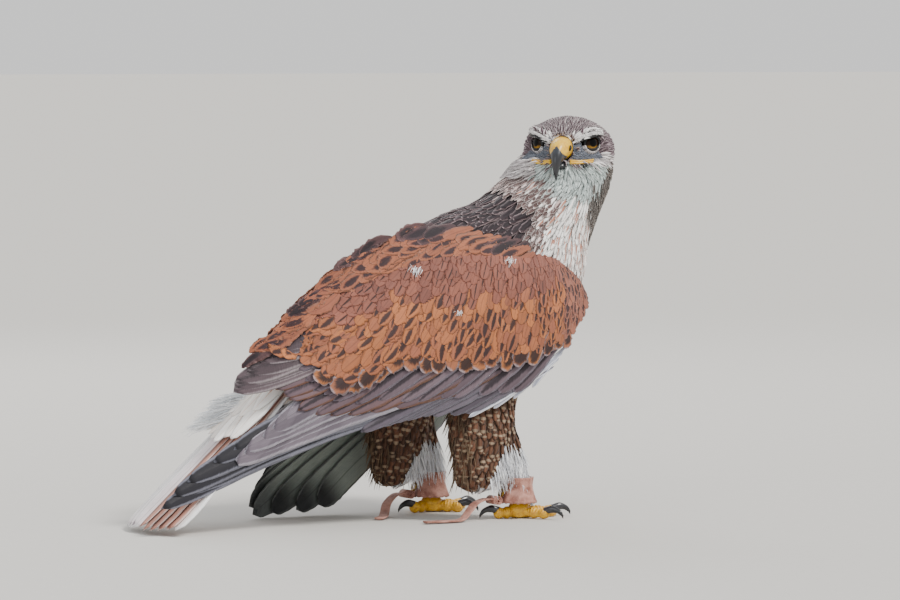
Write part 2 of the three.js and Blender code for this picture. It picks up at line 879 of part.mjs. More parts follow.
// A flat strap through points, its width level across the way it runs.
function strap(points, wide, thick) {
  const path = through(points);
  const steps = 2 * (points.length - 1);
  const rings = [];
  for (let step = 0; step <= steps; step++) {
    const share = step / steps;
    const along = path(share + 0.01).sub(path(share - 0.01)).normalize();
    const across = point(0, 0, 1).cross(along).normalize();
    const up = along.clone().cross(across);
    const corner = (sideways, lift) =>
      path(share).addScaledVector(across, (sideways * wide) / 2).addScaledVector(up, (lift * thick) / 2);
    rings.push([corner(-1, -1), corner(1, -1), corner(1, 1), corner(-1, 1)]);
  }
  return skinOver(rings, path(0), path(1));
}

// A jess: a rolled button against the ring, then a strap that drops to the floor. Points count from the
// foot.
const JESS_ROUTES = {
  [RIGHT]: [
    [-24, 0, 16],
    [-34, -2, 17],
    [-44, -4, 14],
    [-52, -7, 8],
    [-60, -9, 2],
    [-76, -10, 1.6],
    [-94, -8, 1.6],
  ],
  [LEFT]: [
    [-24, 0, 16],
    [-36, -3, 16],
    [-48, -10, 10],
    [-56, -20, 4],
    [-64, -32, 1.6],
    [-76, -46, 1.6],
  ],
};
const BUTTON = { radius: 4.4, half: 7, back: 23.4, level: 15.6 };

function jess(side) {
  const foot = footAt(side);
  const route = JESS_ROUTES[side].map(([x, y, z]) => point(foot.x + x, foot.y + y, z));
  const button = new THREE.CylinderGeometry(BUTTON.radius, BUTTON.radius, 2 * BUTTON.half, 12);
  button.translate(foot.x - BUTTON.back, foot.y, BUTTON.level);
  return join([solidFrom(button), strap(route, 8, 1.8)]);
}

// The part
const part = new THREE.Group();
const COLOURS = {
  plumage: { color: 0x9a5a3c, roughness: 0.85 },
  pale: { color: 0xe6e0d8, roughness: 0.9 },
  flight: { color: 0x6a5f5c, roughness: 0.7 },
  tail: { color: 0xd8c8bc, roughness: 0.75 },
  horn: { color: 0x2a2e38, roughness: 0.35 },
  cere: { color: 0xe2b62c, roughness: 0.5 },
  eye: { color: 0x2b1c0c, roughness: 0.08 },
  leather: { color: 0xa8735f, roughness: 0.7 },
  brass: { color: 0xb8963e, roughness: 0.35, metalness: 1 },
};

function addNode(name, solid, look) {
  const material = new THREE.MeshStandardMaterial({ metalness: 0, ...COLOURS[look] });
  const smoothed = largest(largest(solid).simplify(SLIVER));
  const mesh = new THREE.Mesh(geometryOf(smoothed), material);
  mesh.name = name;
  part.add(mesh);
}

const torsoKeepOut = torsoLoft(GAP);
addNode("head", headSolid(), "pale");
addNode("neck", under(over(flesh, NECK_CUT), HEAD_CUT), "plumage");
addNode("torso", under(flesh, NECK_CUT), "plumage");
addNode("bill_upper", over(billLoft(), CERE_CUT), "horn");
addNode(
  "cere",
  under(billLoft(), CERE_CUT).subtract(join([nostril(RIGHT), nostril(LEFT), lowerBillLoft(GAP)])),
  "cere",
);
addNode("bill_lower", lowerBillLoft().subtract(billLoft(GAP)), "horn");
addNode("tail", aboveFloor(tailSolid().subtract(torsoKeepOut)), "tail");

for (const [label, side, wing] of [
  ["right", RIGHT, RIGHT_WING],
  ["left", LEFT, LEFT_WING],
]) {
  const legKeepOut = trouserLoft(side, GAP);
  const trouser = join([trouserLoft(side), ...trouserLocks(side)]);
  addNode(`eye_${label}`, eyeball(side), "eye");
  addNode(
    `wing_${label}`,
    aboveFloor(wingSolid(wing).subtract(join([torsoKeepOut, legKeepOut, neckLoft()]))),
    "flight",
  );
  addNode(`trouser_${label}`, trouser.subtract(join([torsoKeepOut, tarsusLoft(side, GAP)])), "plumage");
  addNode(`tarsus_${label}`, tarsusLoft(side), "pale");
  addNode(`foot_${label}`, aboveFloor(footSolid(side).subtract(tarsusLoft(side, GAP))), "cere");
  for (const toe of TOES) {
    addNode(`claw_${toe.name}_${label}`, clawLoft(side, toe).subtract(toeLoft(side, toe, GAP)), "horn");
  }
  addNode(`anklet_${label}`, anklet(side), "leather");
  addNode(`grommet_${label}`, grommet(side), "brass");
  addNode(`jess_${label}`, aboveFloor(jess(side)), "leather");
}

// The origin is moved to the floor under the middle of the whole bird.
const middle = new THREE.Box3().setFromObject(part).getCenter(point(0, 0, 0));
part.position.set(-middle.x, -middle.y, 0);

export default part;
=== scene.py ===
"""Looks of a ferruginous hawk: its plumage, bare parts and worn leather, built round the CAD frame.

Places are in millimetres and count from the floor between the feet: +X is the way the breast faces, +Y the
bird's left, +Z up. to_scene() turns them into the frame's metres.
"""

import math
from typing import NamedTuple

import bmesh
import bpy
import numpy as np
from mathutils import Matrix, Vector
from mathutils.bvhtree import BVHTree
from mathutils.kdtree import KDTree


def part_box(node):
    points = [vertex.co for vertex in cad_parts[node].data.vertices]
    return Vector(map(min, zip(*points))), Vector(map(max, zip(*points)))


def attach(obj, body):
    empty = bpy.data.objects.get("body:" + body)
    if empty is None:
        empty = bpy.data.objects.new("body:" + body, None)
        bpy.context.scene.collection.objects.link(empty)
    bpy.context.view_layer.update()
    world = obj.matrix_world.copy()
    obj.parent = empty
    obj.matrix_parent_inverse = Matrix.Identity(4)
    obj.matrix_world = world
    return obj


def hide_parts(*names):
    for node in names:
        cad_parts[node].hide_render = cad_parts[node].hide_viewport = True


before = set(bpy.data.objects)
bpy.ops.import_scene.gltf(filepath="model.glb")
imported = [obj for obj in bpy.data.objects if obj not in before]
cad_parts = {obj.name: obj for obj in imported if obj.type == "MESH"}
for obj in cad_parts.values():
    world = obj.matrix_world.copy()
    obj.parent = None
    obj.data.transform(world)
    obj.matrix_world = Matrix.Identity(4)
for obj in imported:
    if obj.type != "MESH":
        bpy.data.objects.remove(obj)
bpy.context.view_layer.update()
rng = np.random.default_rng(11)

# The bird's main sizes and places, the same as in the part's source
RIGHT = -1
LEFT = 1
SIDES = (("right", RIGHT), ("left", LEFT))
LEG_STAGGER = -35
HEAD_CENTRE = np.array([85.0, -5.0, 308.0])
HEAD_TURN = math.radians(-131)
EYE_CENTRE = np.array([12.5, 17.5, 0.0])
EYE_AXIS = np.array([0.72, 0.69, 0.08])
EYE_RADIUS = 10.0
TAIL_SLOPE = math.radians(42.5)
TAIL_ROOT = np.array([-150.0, 0.0, 159.0])
TAIL_LENGTH = 233.0
TAIL_SPREAD = math.radians(11.8)
TAIL_ARCH = 260.0
SHINGLE = 0.24  # how steeply a feather leans over the next one


def unit(v):
    return v / np.linalg.norm(v, axis=-1, keepdims=True)


def turn_z(points, angle):
    x, y, z = np.moveaxis(np.asarray(points, float), -1, 0)
    c, s = math.cos(angle), math.sin(angle)
    return np.stack([c * x - s * y, s * x + c * y, z], -1)


def on_head(points):
    """Places from the head's own frame: x towards the bill, y to the bird's left, z up."""
    return turn_z(points, HEAD_TURN) + HEAD_CENTRE


def in_head(points):
    return turn_z(np.asarray(points) - HEAD_CENTRE, -HEAD_TURN)


def mirrored(point, side):
    return np.array(point, float) * (1, side, 1)


def eye_axis(side):
    return unit(mirrored(EYE_AXIS, side))


def box_centre(node):
    low, high = (np.array(corner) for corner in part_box(node))
    return (low + high) / 2


ORIGIN = on_head(mirrored(EYE_CENTRE, RIGHT)) - box_centre("eye_right") * 1000


def to_scene(points):
    return (np.asarray(points) - ORIGIN) / 1000


def from_scene(points):
    return np.asarray(points) * 1000 + ORIGIN


def spline(points, share):
    """A smooth curve through a few points, at shares from 0 to 1."""
    points = np.asarray(points, float)
    padded = np.vstack([2 * points[0] - points[1], points, 2 * points[-1] - points[-2]])
    place = np.clip(share, 0, 1) * (len(points) - 1)
    start = np.minimum(place.astype(int), len(points) - 2)
    w = (place - start)[..., None]
    p0, p1, p2, p3 = (padded[start + k] for k in range(4))
    return 0.5 * (
        2 * p1
        + (p2 - p0) * w
        + (2 * p0 - 5 * p1 + 4 * p2 - p3) * w**2
        + (3 * p1 - p0 - 3 * p2 + p3) * w**3
    )


def smoothstep(low, high, value):
    share = np.clip((value - low) / (high - low), 0, 1)
    return share * share * (3 - 2 * share)


def linear(code):
    """A colour written as six hexadecimal digits, in linear light."""
    parts = [int(code[k : k + 2], 16) / 255 for k in (0, 2, 4)]
    return np.array([p / 12.92 if p < 0.04045 else ((p + 0.055) / 1.055) ** 2.4 for p in parts])


# Wing sheet: the folded wing lies on a curved sheet round the body, seen from the side as (x, z)
SHEET_FRONT = 80
SHEET_STEP = -60
# The sheet's middle height, half width and ridge height at each step back from its front
SHEET_ROWS = [
    [168, 50, 232], [160, 59, 258], [145, 60, 252], [120, 57, 232],
    [95, 52, 192], [66, 48, 132], [38, 44, 90], [24, 38, 70],
]
SPREAD_DROP = 60  # how far below its middle the sheet is spread in full
STEEPEST = 0.96  # how far round its oval the sheet reaches, as a sine


class Wing(NamedTuple):
    side: int
    spread: float
    tuck: float
    pad: list  # x, lower edge, upper edge, half thickness of the arm under the feathers


RIGHT_WING = Wing(RIGHT, 0, 130, [
    [71, 160, 188, 4], [62, 144, 206, 8], [46, 130, 216, 10],
    [20, 112, 226, 11], [-20, 98, 233, 9], [-60, 100, 212, 5],
])
LEFT_WING = Wing(LEFT, 14, 240, [
    [84, 138, 170, 4], [74, 120, 194, 8], [50, 102, 212, 10],
    [20, 88, 226, 11], [-20, 82, 233, 9], [-56, 92, 212, 5],
])


def on_sheet(wing, x, z, out):
    share = (x - SHEET_FRONT) / (SHEET_STEP * (len(SHEET_ROWS) - 1))
    level, half, ridge = np.moveaxis(spline(SHEET_ROWS, share), -1, 0)
    wide = half + wing.spread * np.clip((level - z) / SPREAD_DROP, 0, 1)
    reach = np.where(z > level, ridge - level, wing.tuck)
    sine = np.clip((z - level) / reach, -STEEPEST, STEEPEST)
    cosine = np.sqrt(1 - sine**2)
    normal = unit(np.stack([cosine / wide, sine / reach], -1))
    across = wing.side * (wide * cosine + out * normal[..., 0])
    return np.stack([x, across, z + out * normal[..., 1]], -1)


def pad_edges(wing, x):
    """Lower edge, upper edge and half thickness of the wing's arm at a place along it."""
    rows = np.array(wing.pad, float)[::-1]
    return [np.interp(x, rows[:, 0], rows[:, k]) for k in (1, 2, 3)]


def pad_level(wing, x, z):
    low, high, deep = pad_edges(wing, x)
    off = (z - (low + high) / 2) / ((high - low) / 2)
    return deep * np.sqrt(np.clip(1 - off**2, 0, 1))


def on_tail(along, across, out):
    rise = out - across**2 / TAIL_ARCH
    x = TAIL_ROOT[0] - along * math.cos(TAIL_SLOPE) - rise * math.sin(TAIL_SLOPE)
    z = TAIL_ROOT[2] - along * math.sin(TAIL_SLOPE) + rise * math.cos(TAIL_SLOPE)
    return np.stack([x, across + 0 * along, z], -1)


# Looks of feathers
class Look(NamedTuple):
    """ground and other are the feather's two base colours, mark its centre and bars, rim its border.

    blot is the mark's place along, half length and half width, as shares. trim is the rim's width,
    the number of bars and their strength. chance is the share of feathers that carry the mark.
    """

    ground: str
    other: str
    mark: str
    rim: str
    blot: tuple
    trim: tuple
    chance: float = 1.0


LOOKS = {
    "crown": Look("b9a9ad", "9c898f", "3a2b31", "f2ecec", (0.55, 0.6, 0.5), (0.2, 0, 0)),
    "brow": Look("f7f5f4", "eeeaea", "8a7a78", "ffffff", (0.6, 0.4, 0.12), (0.1, 0, 0), 0.15),
    # lore: dark feathers round the eye; above the eye this dark is partly painted shadow of the brow
    "lore": Look("26272c", "1c1c20", "121114", "30333b", (0.5, 0.6, 0.3), (0.1, 0, 0)),
    "lore_pale": Look("8b919f", "626976", "33363f", "bcc3cf", (0.5, 0.6, 0.3), (0.16, 0, 0)),
    "cheek": Look("97828a", "7f6a72", "40323a", "cdbfc2", (0.6, 0.55, 0.42), (0.18, 0, 0)),
    "whisker": Look("efebea", "cdc4c6", "54464c", "ffffff", (0.62, 0.5, 0.34), (0.12, 0, 0), 0.7),
    # collar: dark-streaked feathers on one side of the neck, their darker grey tone partly painted shade
    "collar_in_shade": Look("b3a8a2", "6a5f5a", "25221f", "d6cdc6", (0.6, 0.55, 0.62), (0.18, 0, 0)),
    # throat: white feathers with fine dark streaks, darkened to a cool grey-green as painted shade under the
    # head
    "throat_in_shade": Look("d6dfdd", "bccac8", "434a4a", "e6eeec", (0.62, 0.45, 0.16), (0.1, 0, 0), 0.4),
    "breast": Look("fffefb", "fbf7f4", "a86448", "ffffff", (0.55, 0.5, 0.45), (0.1, 0, 0), 0.3),
    "nape": Look("eddfdc", "c2a49e", "432c2c", "fbf0ee", (0.6, 0.5, 0.66), (0.2, 0, 0), 0.85),
    "mantle": Look("4c3b41", "382b31", "221b21", "c0abaf", (0.4, 0.6, 0.6), (0.2, 0, 0)),
    "scapular": Look("9c5e42", "8a5240", "241c25", "a1705c", (0.66, 0.24, 0.42), (0.16, 0, 0), 0.9),
    "scapular_dark": Look("5b4040", "402f33", "231b21", "7d5f5e", (0.6, 0.34, 0.5), (0.18, 0, 0)),
    "back": Look("463638", "35292d", "251f25", "a58e8c", (0.5, 0.6, 0.6), (0.18, 0, 0)),
    "lesser": Look("905848", "784a40", "33211f", "8b5445", (0.72, 0.42, 0.1), (0.03, 0, 0), 0.6),
    "lesser_low": Look("b06c42", "8f5641", "2a2024", "a36a4a", (0.64, 0.4, 0.3), (0.05, 0, 0), 0.55),
    "marginal": Look("985f4b", "825245", "2c2024", "a57767", (0.64, 0.36, 0.36), (0.1, 0, 0), 0.6),
    "median": Look("a9693b", "925b44", "1d181e", "a39aa4", (0.6, 0.3, 0.6), (0.14, 0, 0), 0.95),
    "greater": Look("6f6068", "564850", "2d252c", "948a9a", (0.5, 0.5, 0.34), (0.14, 0, 0)),
    "greater_rust": Look("6c565a", "564850", "2d252c", "8d6450", (0.5, 0.5, 0.34), (0.14, 0, 0)),
    "secondary": Look("716872", "585059", "37313a", "cbc6d3", (0.3, 0.3, 0.5), (0.14, 4, 0.3)),
    "tertial": Look("54474c", "43383d", "2c262a", "a2979b", (0.45, 0.5, 0.4), (0.18, 0, 0)),
    "primary": Look("56555f", "45444d", "1f1e24", "8b8c9b", (0.92, 0.3, 1.2), (0.2, 0, 0)),
    # far_primary: the far wing's dark grey primaries, tinted green-grey as painted shade
    "far_primary": Look("5a5f5d", "494d4d", "1d1f22", "666a69", (0.95, 0.3, 1.2), (0.1, 0, 0)),
    "primary_covert": Look("5f5862", "4d4650", "2e2930", "8a8796", (0.5, 0.5, 0.3), (0.14, 0, 0)),
    "edge_covert": Look("b4b7c8", "8f92a3", "4a4650", "f2f4fb", (0.3, 0.5, 0.3), (0.4, 0, 0), 0.5),
    "tail": Look("efe8e7", "cfc4c9", "7c6d77", "ffffff", (0.45, 0.7, 0.3), (0.24, 0, 0), 0.9),
    "tail_outer": Look("f4edea", "ece2df", "b68c7d", "ffffff", (0.5, 0.4, 0.3), (0.34, 0, 0), 0.5),
    "tail_rust": Look("c18c7b", "ab7565", "7a5044", "ecdcd7", (0.55, 0.5, 0.45), (0.12, 0, 0)),
    "tail_covert": Look("fdf9f5", "f3e8de", "b06f43", "ffffff", (0.6, 0.3, 0.2), (0.12, 0, 0), 0.2),
    "fluff": Look("ffffff", "f0f4f9", "d6dee6", "ffffff", (0.5, 0.3, 0.001), (0.1, 0, 0), 0.0),
    "belly": Look("faf7f3", "efe8e1", "a8705a", "ffffff", (0.7, 0.2, 0.3), (0.1, 0, 0), 0.35),
    "leg": Look("68432f", "3f2a1e", "95806a", "4a3021", (0.72, 0.09, 1.5), (0.06, 0, 0), 0.7),
    "leg_edge": Look("75604a", "553f2e", "3a3125", "7d7058", (0.5, 0.3, 0.001), (0.1, 0, 0), 0.0),
    "leg_pale": Look("f3f2f2", "dcdde2", "9a8a82", "ffffff", (0.6, 0.4, 0.1), (0.1, 0, 0), 0.1),
    "tuft": Look("f6f6f8", "e2e6ee", "b0a49c", "ffffff", (0.5, 0.3, 0.001), (0.1, 0, 0), 0.0),
    "bristle": Look("2e2c30", "1e1d20", "121114", "3a383c", (0.5, 0.3, 0.001), (0.1, 0, 0), 0.0),
}
LOOK_NAMES = list(LOOKS)


def look_index(name):
    return LOOK_NAMES.index(name)


def look_arrays(index):
    """The colours and pattern of each feather from its look's number."""
    table = [LOOKS[name] for name in LOOK_NAMES]
    column = lambda key: np.array([linear(getattr(look, key)) for look in table])[index]
    shade = 0.88 + 0.24 * rng.random((len(index), 1))
    mix = rng.random(len(index))[:, None]
    blot = np.array([look.blot for look in table], float)[index]
    blot = blot * (1 + 0.12 * rng.standard_normal(blot.shape))
    missing = rng.random(len(index)) > np.array([look.chance for look in table])[index]
    blot[missing, 2] = 0.001
    return {
        "ground": (column("ground") * mix + column("other") * (1 - mix)) * shade,
        "mark": column("mark") * (0.75 + 0.4 * rng.random((len(index), 1))),
        "rim": column("rim") * (0.92 + 0.16 * mix),
        "blot": blot,
        "trim": np.array([look.trim for look in table], float)[index],
    }


# Feather meshes. A vane is a closed shell whose cross sections are flat lenses.
class Grid(NamedTuple):
    along: np.ndarray
    across: np.ndarray
    face: np.ndarray  # 1 on the upper face, -1 on the lower one, 0 on the edges
    triangles: np.ndarray


def band_triangles(rings, sides, first=1):
    """Triangles between rings of points that follow each other from the point numbered first."""
    k = np.arange(sides)
    after = (k + 1) % sides
    triangles = []
    for ring in range(rings - 1):
        a, b = first + ring * sides + k, first + ring * sides + after
        triangles += [np.stack([a, b, b + sides], -1), np.stack([a, b + sides, a + sides], -1)]
    return np.concatenate(triangles)


def tube_triangles(rings, sides):
    """Triangles of a tube whose first and last points close its ends."""
    k = np.arange(sides)
    after = (k + 1) % sides
    end = 1 + rings * sides
    start_cap = np.stack([0 * k, 1 + after, 1 + k], -1)
    end_cap = np.stack([0 * k + end, end - sides + k, end - sides + after], -1)
    return np.concatenate([start_cap, band_triangles(rings, sides), end_cap])


ROOT_END = -0.03  # where a vane begins and where its last ring lies, as shares of its length
LAST_RING = 0.97


def vane_grid(rings, columns):
    """A template with a number of rings from root to tip, and of columns on each face."""
    sides = np.linspace(-1, 1, columns)
    around = np.concatenate([sides, sides[-2:0:-1]])
    face = np.concatenate([[0], np.ones(columns - 2), [0], -np.ones(columns - 2)])
    shares = LAST_RING * np.sin(np.linspace(0, math.pi / 2, rings))
    count = len(around)
    along = np.concatenate([[ROOT_END], np.repeat(shares, count), [1.0]])
    across = np.concatenate([[0], np.tile(around, rings), [0]])
    faces = np.concatenate([[0], np.tile(face, rings), [0]])
    return Grid(along, across, faces, tube_triangles(rings, count))


def round_outline(share):
    """Half width along a covert or body feather, as a share of the widest."""
    body = 0.42 + 0.58 * smoothstep(-0.05, 0.5, share)
    tip = np.sqrt(np.clip(1 - (np.clip(share - 0.62, 0, 1) / 0.38) ** 2, 0, 1))
    return body * tip


def pointed_outline(share):
    body = 0.5 + 0.5 * smoothstep(-0.05, 0.45, share)
    tip = np.clip(1 - (np.clip(share - 0.35, 0, 1) / 0.65) ** 2, 0, 1)
    return body * tip


def blade_outline(share):
    """Half width along a flight feather."""
    body = 0.5 + 0.5 * smoothstep(-0.05, 0.3, share)
    tip = np.sqrt(np.clip(1 - (np.clip(share - 0.82, 0, 1) / 0.18) ** 2, 0, 1))
    return body * tip


def plume_outline(share):
    """Half width along a soft strand, which tapers all the way."""
    return np.clip(1 - share, 0, 1) ** 0.7


COLOURS = ("ground", "mark", "rim")
PATCH = 0.003  # side of a feather's patch on the map


class Coat:
    """Gathers the feathers of one piece and then makes its mesh."""

    def __init__(self):
        self.points = []
        self.triangles = []
        self.maps = []
        self.layers = {key: [] for key in ("lay", "span", *COLOURS, "blot", "trim")}
        self.size = 0

    def add(self, grid, points, looks, length, half, places):
        """points holds the feathers by the grid's points, and places each feather's corner on the map."""
        count, each = points.shape[:2]
        self.points.append(points.reshape(-1, 3))
        steps = self.size + each * np.arange(count)
        self.triangles.append((grid.triangles[None] + steps[:, None, None]).reshape(-1, 3))
        lay = np.stack([grid.along, grid.across, grid.face], -1)[None].repeat(count, axis=0)
        self.layers["lay"].append(lay.reshape(-1, 3))
        span = np.stack([length, half, rng.random(count)], -1)
        for key, values in (("span", span), *looks.items()):
            self.layers[key].append(np.repeat(values, each, axis=0))
        inside = np.stack([(grid.across + 1) / 2, np.clip(grid.along, 0, 1)], -1)
        self.maps.append((places[:, None] + inside[None] * PATCH).reshape(-1, 2))
        self.size += count * each

    def mesh(self, name):
        triangles = np.concatenate(self.triangles)
        mesh = triangle_mesh(name, to_scene(np.concatenate(self.points)), triangles)
        for key, parts in self.layers.items():
            values = np.concatenate(parts)
            store(mesh, key, opaque(values) if key in COLOURS else values)
        places = np.concatenate(self.maps)[triangles.ravel()]
        layer = mesh.uv_layers.new(name="OFBake")
        layer.data.foreach_set("uv", places.astype(np.float32).ravel())
        return mesh


def opaque(colours):
    return np.pad(colours, ((0, 0), (0, 1)), constant_values=1)


def store(mesh, key, values):
    """Keeps a vector or, where there are four numbers, a colour for each of the mesh's points."""
    kind, field = ("FLOAT_COLOR", "color") if values.shape[1] == 4 else ("FLOAT_VECTOR", "vector")
    layer = mesh.attributes.new(key, kind, "POINT")
    layer.data.foreach_set(field, values.astype(np.float32).ravel())


def fetch(items, key, width, kind=float):
    """What a mesh holds for each vertex, face or corner, as rows of the given width."""
    values = np.empty(len(items) * width, kind)
    items.foreach_get(key, values)
    return values.reshape(-1, width)


def triangle_mesh(name, points, triangles):
    mesh = bpy.data.meshes.new(name)
    mesh.vertices.add(len(points))
    mesh.vertices.foreach_set("co", np.asarray(points, np.float32).ravel())
    mesh.loops.add(triangles.size)
    mesh.loops.foreach_set("vertex_index", triangles.astype(np.int32).ravel())
    mesh.polygons.add(len(triangles))
    mesh.polygons.foreach_set("loop_start", np.arange(0, triangles.size, 3, dtype=np.int32))
    mesh.polygons.foreach_set("use_smooth", np.ones(len(triangles), bool))
    mesh.update(calc_edges=True)
    return mesh


def add_piece(mesh, material, slot, *nodes):
    piece = bpy.data.objects.new(mesh.name, mesh)
    bpy.context.scene.collection.objects.link(piece)
    mesh.materials.append(material)
    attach(piece, "root")
    if nodes:
        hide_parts(*nodes)
    return piece


def ragged(count, style):
    """Uneven widths for a set of feathers, one value for each point of the grid."""
    grid = style.grid
    noise = rng.standard_normal((count, 7))
    at = np.clip(grid.along * 6, 0, 5.999)
    low = at.astype(int)
    share = at - low
    waves = style.rough * (noise[:, low] * (1 - share) + noise[:, low + 1] * share)
    notches = style.fray * rng.random((count, len(grid.along))) * (np.abs(grid.across) > 0.99)
    return 1 + waves - notches


class Style(NamedTuple):
    grid: Grid
    outline: object
    camber: float = 0.12  # how high the middle stands over the edges, as a share of the half width
    thick: float = 0.5
    rough: float = 0.05
    fray: float = 0.0  # how deep the notches between its barbs are, as a share of its width
    sweep: float = 0.5  # how far the edges run ahead of the shaft, as a share of the half width
    skew: float = 0.0  # how far the outer edge alone runs ahead


FINE = Style(vane_grid(4, 3), pointed_outline, thick=0.3)
SMALL = Style(vane_grid(7, 3), round_outline, camber=0.08, thick=0.3, fray=0.3)
MEDIUM = Style(vane_grid(16, 5), round_outline, camber=0.0, thick=0.08, fray=0.34, rough=0.06)
LARGE = Style(vane_grid(20, 7), round_outline, camber=0.06, thick=0.5, rough=0.04, fray=0.08)
BLADE = Style(vane_grid(30, 9), blade_outline, camber=0.08, thick=0.8, rough=0.03, fray=0.05)
STEPPED = BLADE._replace(skew=1.0)
STRAND = Style(vane_grid(5, 3), plume_outline, camber=0, thick=0.25, rough=0.0)


def lay_on_chart(coat, chart, style, roots, tips, half, out, tilt, bow, look, places):
    """Adds feathers that follow a chart. roots, tips and out each hold a pair of numbers a feather."""
    grid = style.grid
    count = len(roots)
    along = tips - roots
    length = np.linalg.norm(along, axis=1)
    ahead = along / length[:, None]
    side = np.stack([-ahead[:, 1], ahead[:, 0]], -1)
    wide = half[:, None] * style.outline(grid.along) * ragged(count, style)
    across = grid.across * wide
    ahead_of_shaft = style.sweep * np.abs(across) * (1 - grid.along) + style.skew * across * grid.along
    share = grid.along * 0.98 + ahead_of_shaft / length[:, None]
    sideways = across + bow[:, None] * 4 * share * (1 - share)
    flat = roots[:, None] + ahead[:, None] * (share * length[:, None])[..., None]
    flat = flat + side[:, None] * sideways[..., None]
    rise = out[:, :1] + (out[:, 1:] - out[:, :1]) * share
    domed = 1 - grid.across**2
    rise = rise + tilt[:, None] * across + style.camber * half[:, None] * domed
    rise = rise + grid.face * style.thick / 2 * domed**0.5
    points = chart(flat[..., 0], flat[..., 1], rise)
    coat.add(grid, points, look_arrays(look), length, half, places)


def tier(count, roots, tips, half, out, bow=0.0, tilt=SHINGLE, wander=0.012):
    """Feathers whose roots and tips lie along two lines, in the terms that lay_on_chart takes."""
    share = np.linspace(0, 1, count)
    share = np.clip(share + 0.12 / count * rng.standard_normal(count), 0, 1)
    start = spline(roots, share)
    end = spline(tips, share)
    end = start + (end - start) * (1 + wander * rng.standard_normal((count, 1)))
    widths = half * (1 + 0.04 * rng.standard_normal(count))
    return dict(
        roots=start,
        tips=end,
        half=widths,
        out=np.tile(np.array(out, float), (count, 1)),
        tilt=tilt * (1 + 0.15 * rng.standard_normal(count)),
        bow=bow + 0.6 * rng.standard_normal(count),
    )


# Materials
class Nodes:
    """Short names for building a material's node tree."""

    def __init__(self, name, roughness, **sockets):
        self.material = bpy.data.materials.new(name)
        self.material.use_nodes = True
        self.tree = self.material.node_tree
        self.shader = self.tree.nodes["Principled BSDF"]
        self.shader.inputs["Roughness"].default_value = roughness
        for key, value in sockets.items():
            self.shader.inputs[key.replace("_", " ")].default_value = value

    def put(self, socket, value):
        if isinstance(value, bpy.types.NodeSocket):
            self.tree.links.new(value, socket)
        else:
            socket.default_value = value

    def attribute(self, name, output="Vector"):
        node = self.tree.nodes.new("ShaderNodeAttribute")
        node.attribute_name = name
        return node.outputs[output]

    def split(self, vector):
        node = self.tree.nodes.new("ShaderNodeSeparateXYZ")
        self.put(node.inputs[0], vector)
        return node.outputs

    def join(self, x, y, z=0.0):
        node = self.tree.nodes.new("ShaderNodeCombineXYZ")
        for socket, value in zip(node.inputs, (x, y, z)):
            self.put(socket, value)
        return node.outputs[0]

    def math(self, operation, a, b=0.0):
        node = self.tree.nodes.new("ShaderNodeMath")
        node.operation = operation
        for socket, value in zip(node.inputs, (a, b)):
            self.put(socket, value)
        return node.outputs[0]

    def chain(self, operation, total, *others):
        for value in others:
            total = self.math(operation, total, value)
        return total

    def add(self, *values):
        return self.chain("ADD", *values)

    def times(self, *values):
        return self.chain("MULTIPLY", *values)

    def less(self, a, b):
        return self.math("SUBTRACT", a, b)

    def step(self, value, low, high):
        """0 below low and 1 above high, with a smooth rise between them."""
        node = self.tree.nodes.new("ShaderNodeMapRange")
        node.interpolation_type = "SMOOTHSTEP"
        self.put(node.inputs["Value"], value)
        self.put(node.inputs["From Min"], low)
        self.put(node.inputs["From Max"], high)
        return node.outputs[0]

    def mix(self, share, a, b, blend="MIX"):
        node = self.tree.nodes.new("ShaderNodeMix")
        node.data_type = "RGBA"
        node.blend_type = blend
        self.put(node.inputs[0], share)
        self.put(node.inputs[6], a)
        self.put(node.inputs[7], b)
        return node.outputs[2]

    def shaded(self, colour, shade):
        return self.mix(1.0, colour, self.join(shade, shade, shade), "MULTIPLY")

    def noise(self, vector, scale, detail=2.0, roughness=0.5):
        node = self.tree.nodes.new("ShaderNodeTexNoise")
        node.inputs["Scale"].default_value = scale
        node.inputs["Detail"].default_value = detail
        node.inputs["Roughness"].default_value = roughness
        self.put(node.inputs["Vector"], vector)
        return node.outputs[0]

    def cells(self, vector, scale, feature="F1"):
        node = self.tree.nodes.new("ShaderNodeTexVoronoi")
        node.feature = feature
        node.inputs["Scale"].default_value = scale
        self.put(node.inputs["Vector"], vector)
        return node.outputs["Distance"]

    def place(self):
        """Object coordinates in metres."""
        return self.tree.nodes.new("ShaderNodeTexCoord").outputs["Object"]

    def bump(self, height, strength, distance):
        node = self.tree.nodes.new("ShaderNodeBump")
        node.inputs["Strength"].default_value = strength
        node.inputs["Distance"].default_value = distance
        self.put(node.inputs["Height"], height)
        self.tree.links.new(node.outputs[0], self.shader.inputs["Normal"])

    def colour(self, value):
        self.put(self.shader.inputs["Base Color"], value)


def rgba(code):
    return (*linear(code), 1.0)


def blot_share(n, along, across, wobble):
    """How far the mark in its centre covers a feather."""
    centre, reach, width = n.split(n.attribute("blot"))
    u = n.math("DIVIDE", n.less(along, centre), reach)
    v = n.math("DIVIDE", across, width)
    return n.times(n.step(n.add(n.times(u, u), n.times(v, v), wobble), 1.6, 0.5), 0.92)


def bar_share(n, along, edge, wobble):
    """How far bars across a feather cover it."""
    _, bars, strength = n.split(n.attribute("trim"))
    phase = n.add(n.times(along, bars), n.times(edge, -0.16), n.times(wobble, 0.1))
    wave = n.math("SINE", n.times(phase, 2 * math.pi))
    return n.times(n.step(wave, 0.0, 0.6), strength)


def rim_share(n, along, edge, ratio, wobble):
    """How far the border's colour covers a feather, along its edges and round its tip."""
    inner = n.less(1.0, n.split(n.attribute("trim"))[0])
    to_tip = n.less(1.0, n.times(n.less(1.0, along), ratio))
    border = n.add(n.math("MAXIMUM", edge, to_tip), n.times(wobble, 0.12))
    return n.times(n.step(border, n.less(inner, 0.2), n.add(inner, 0.12)), 0.85)


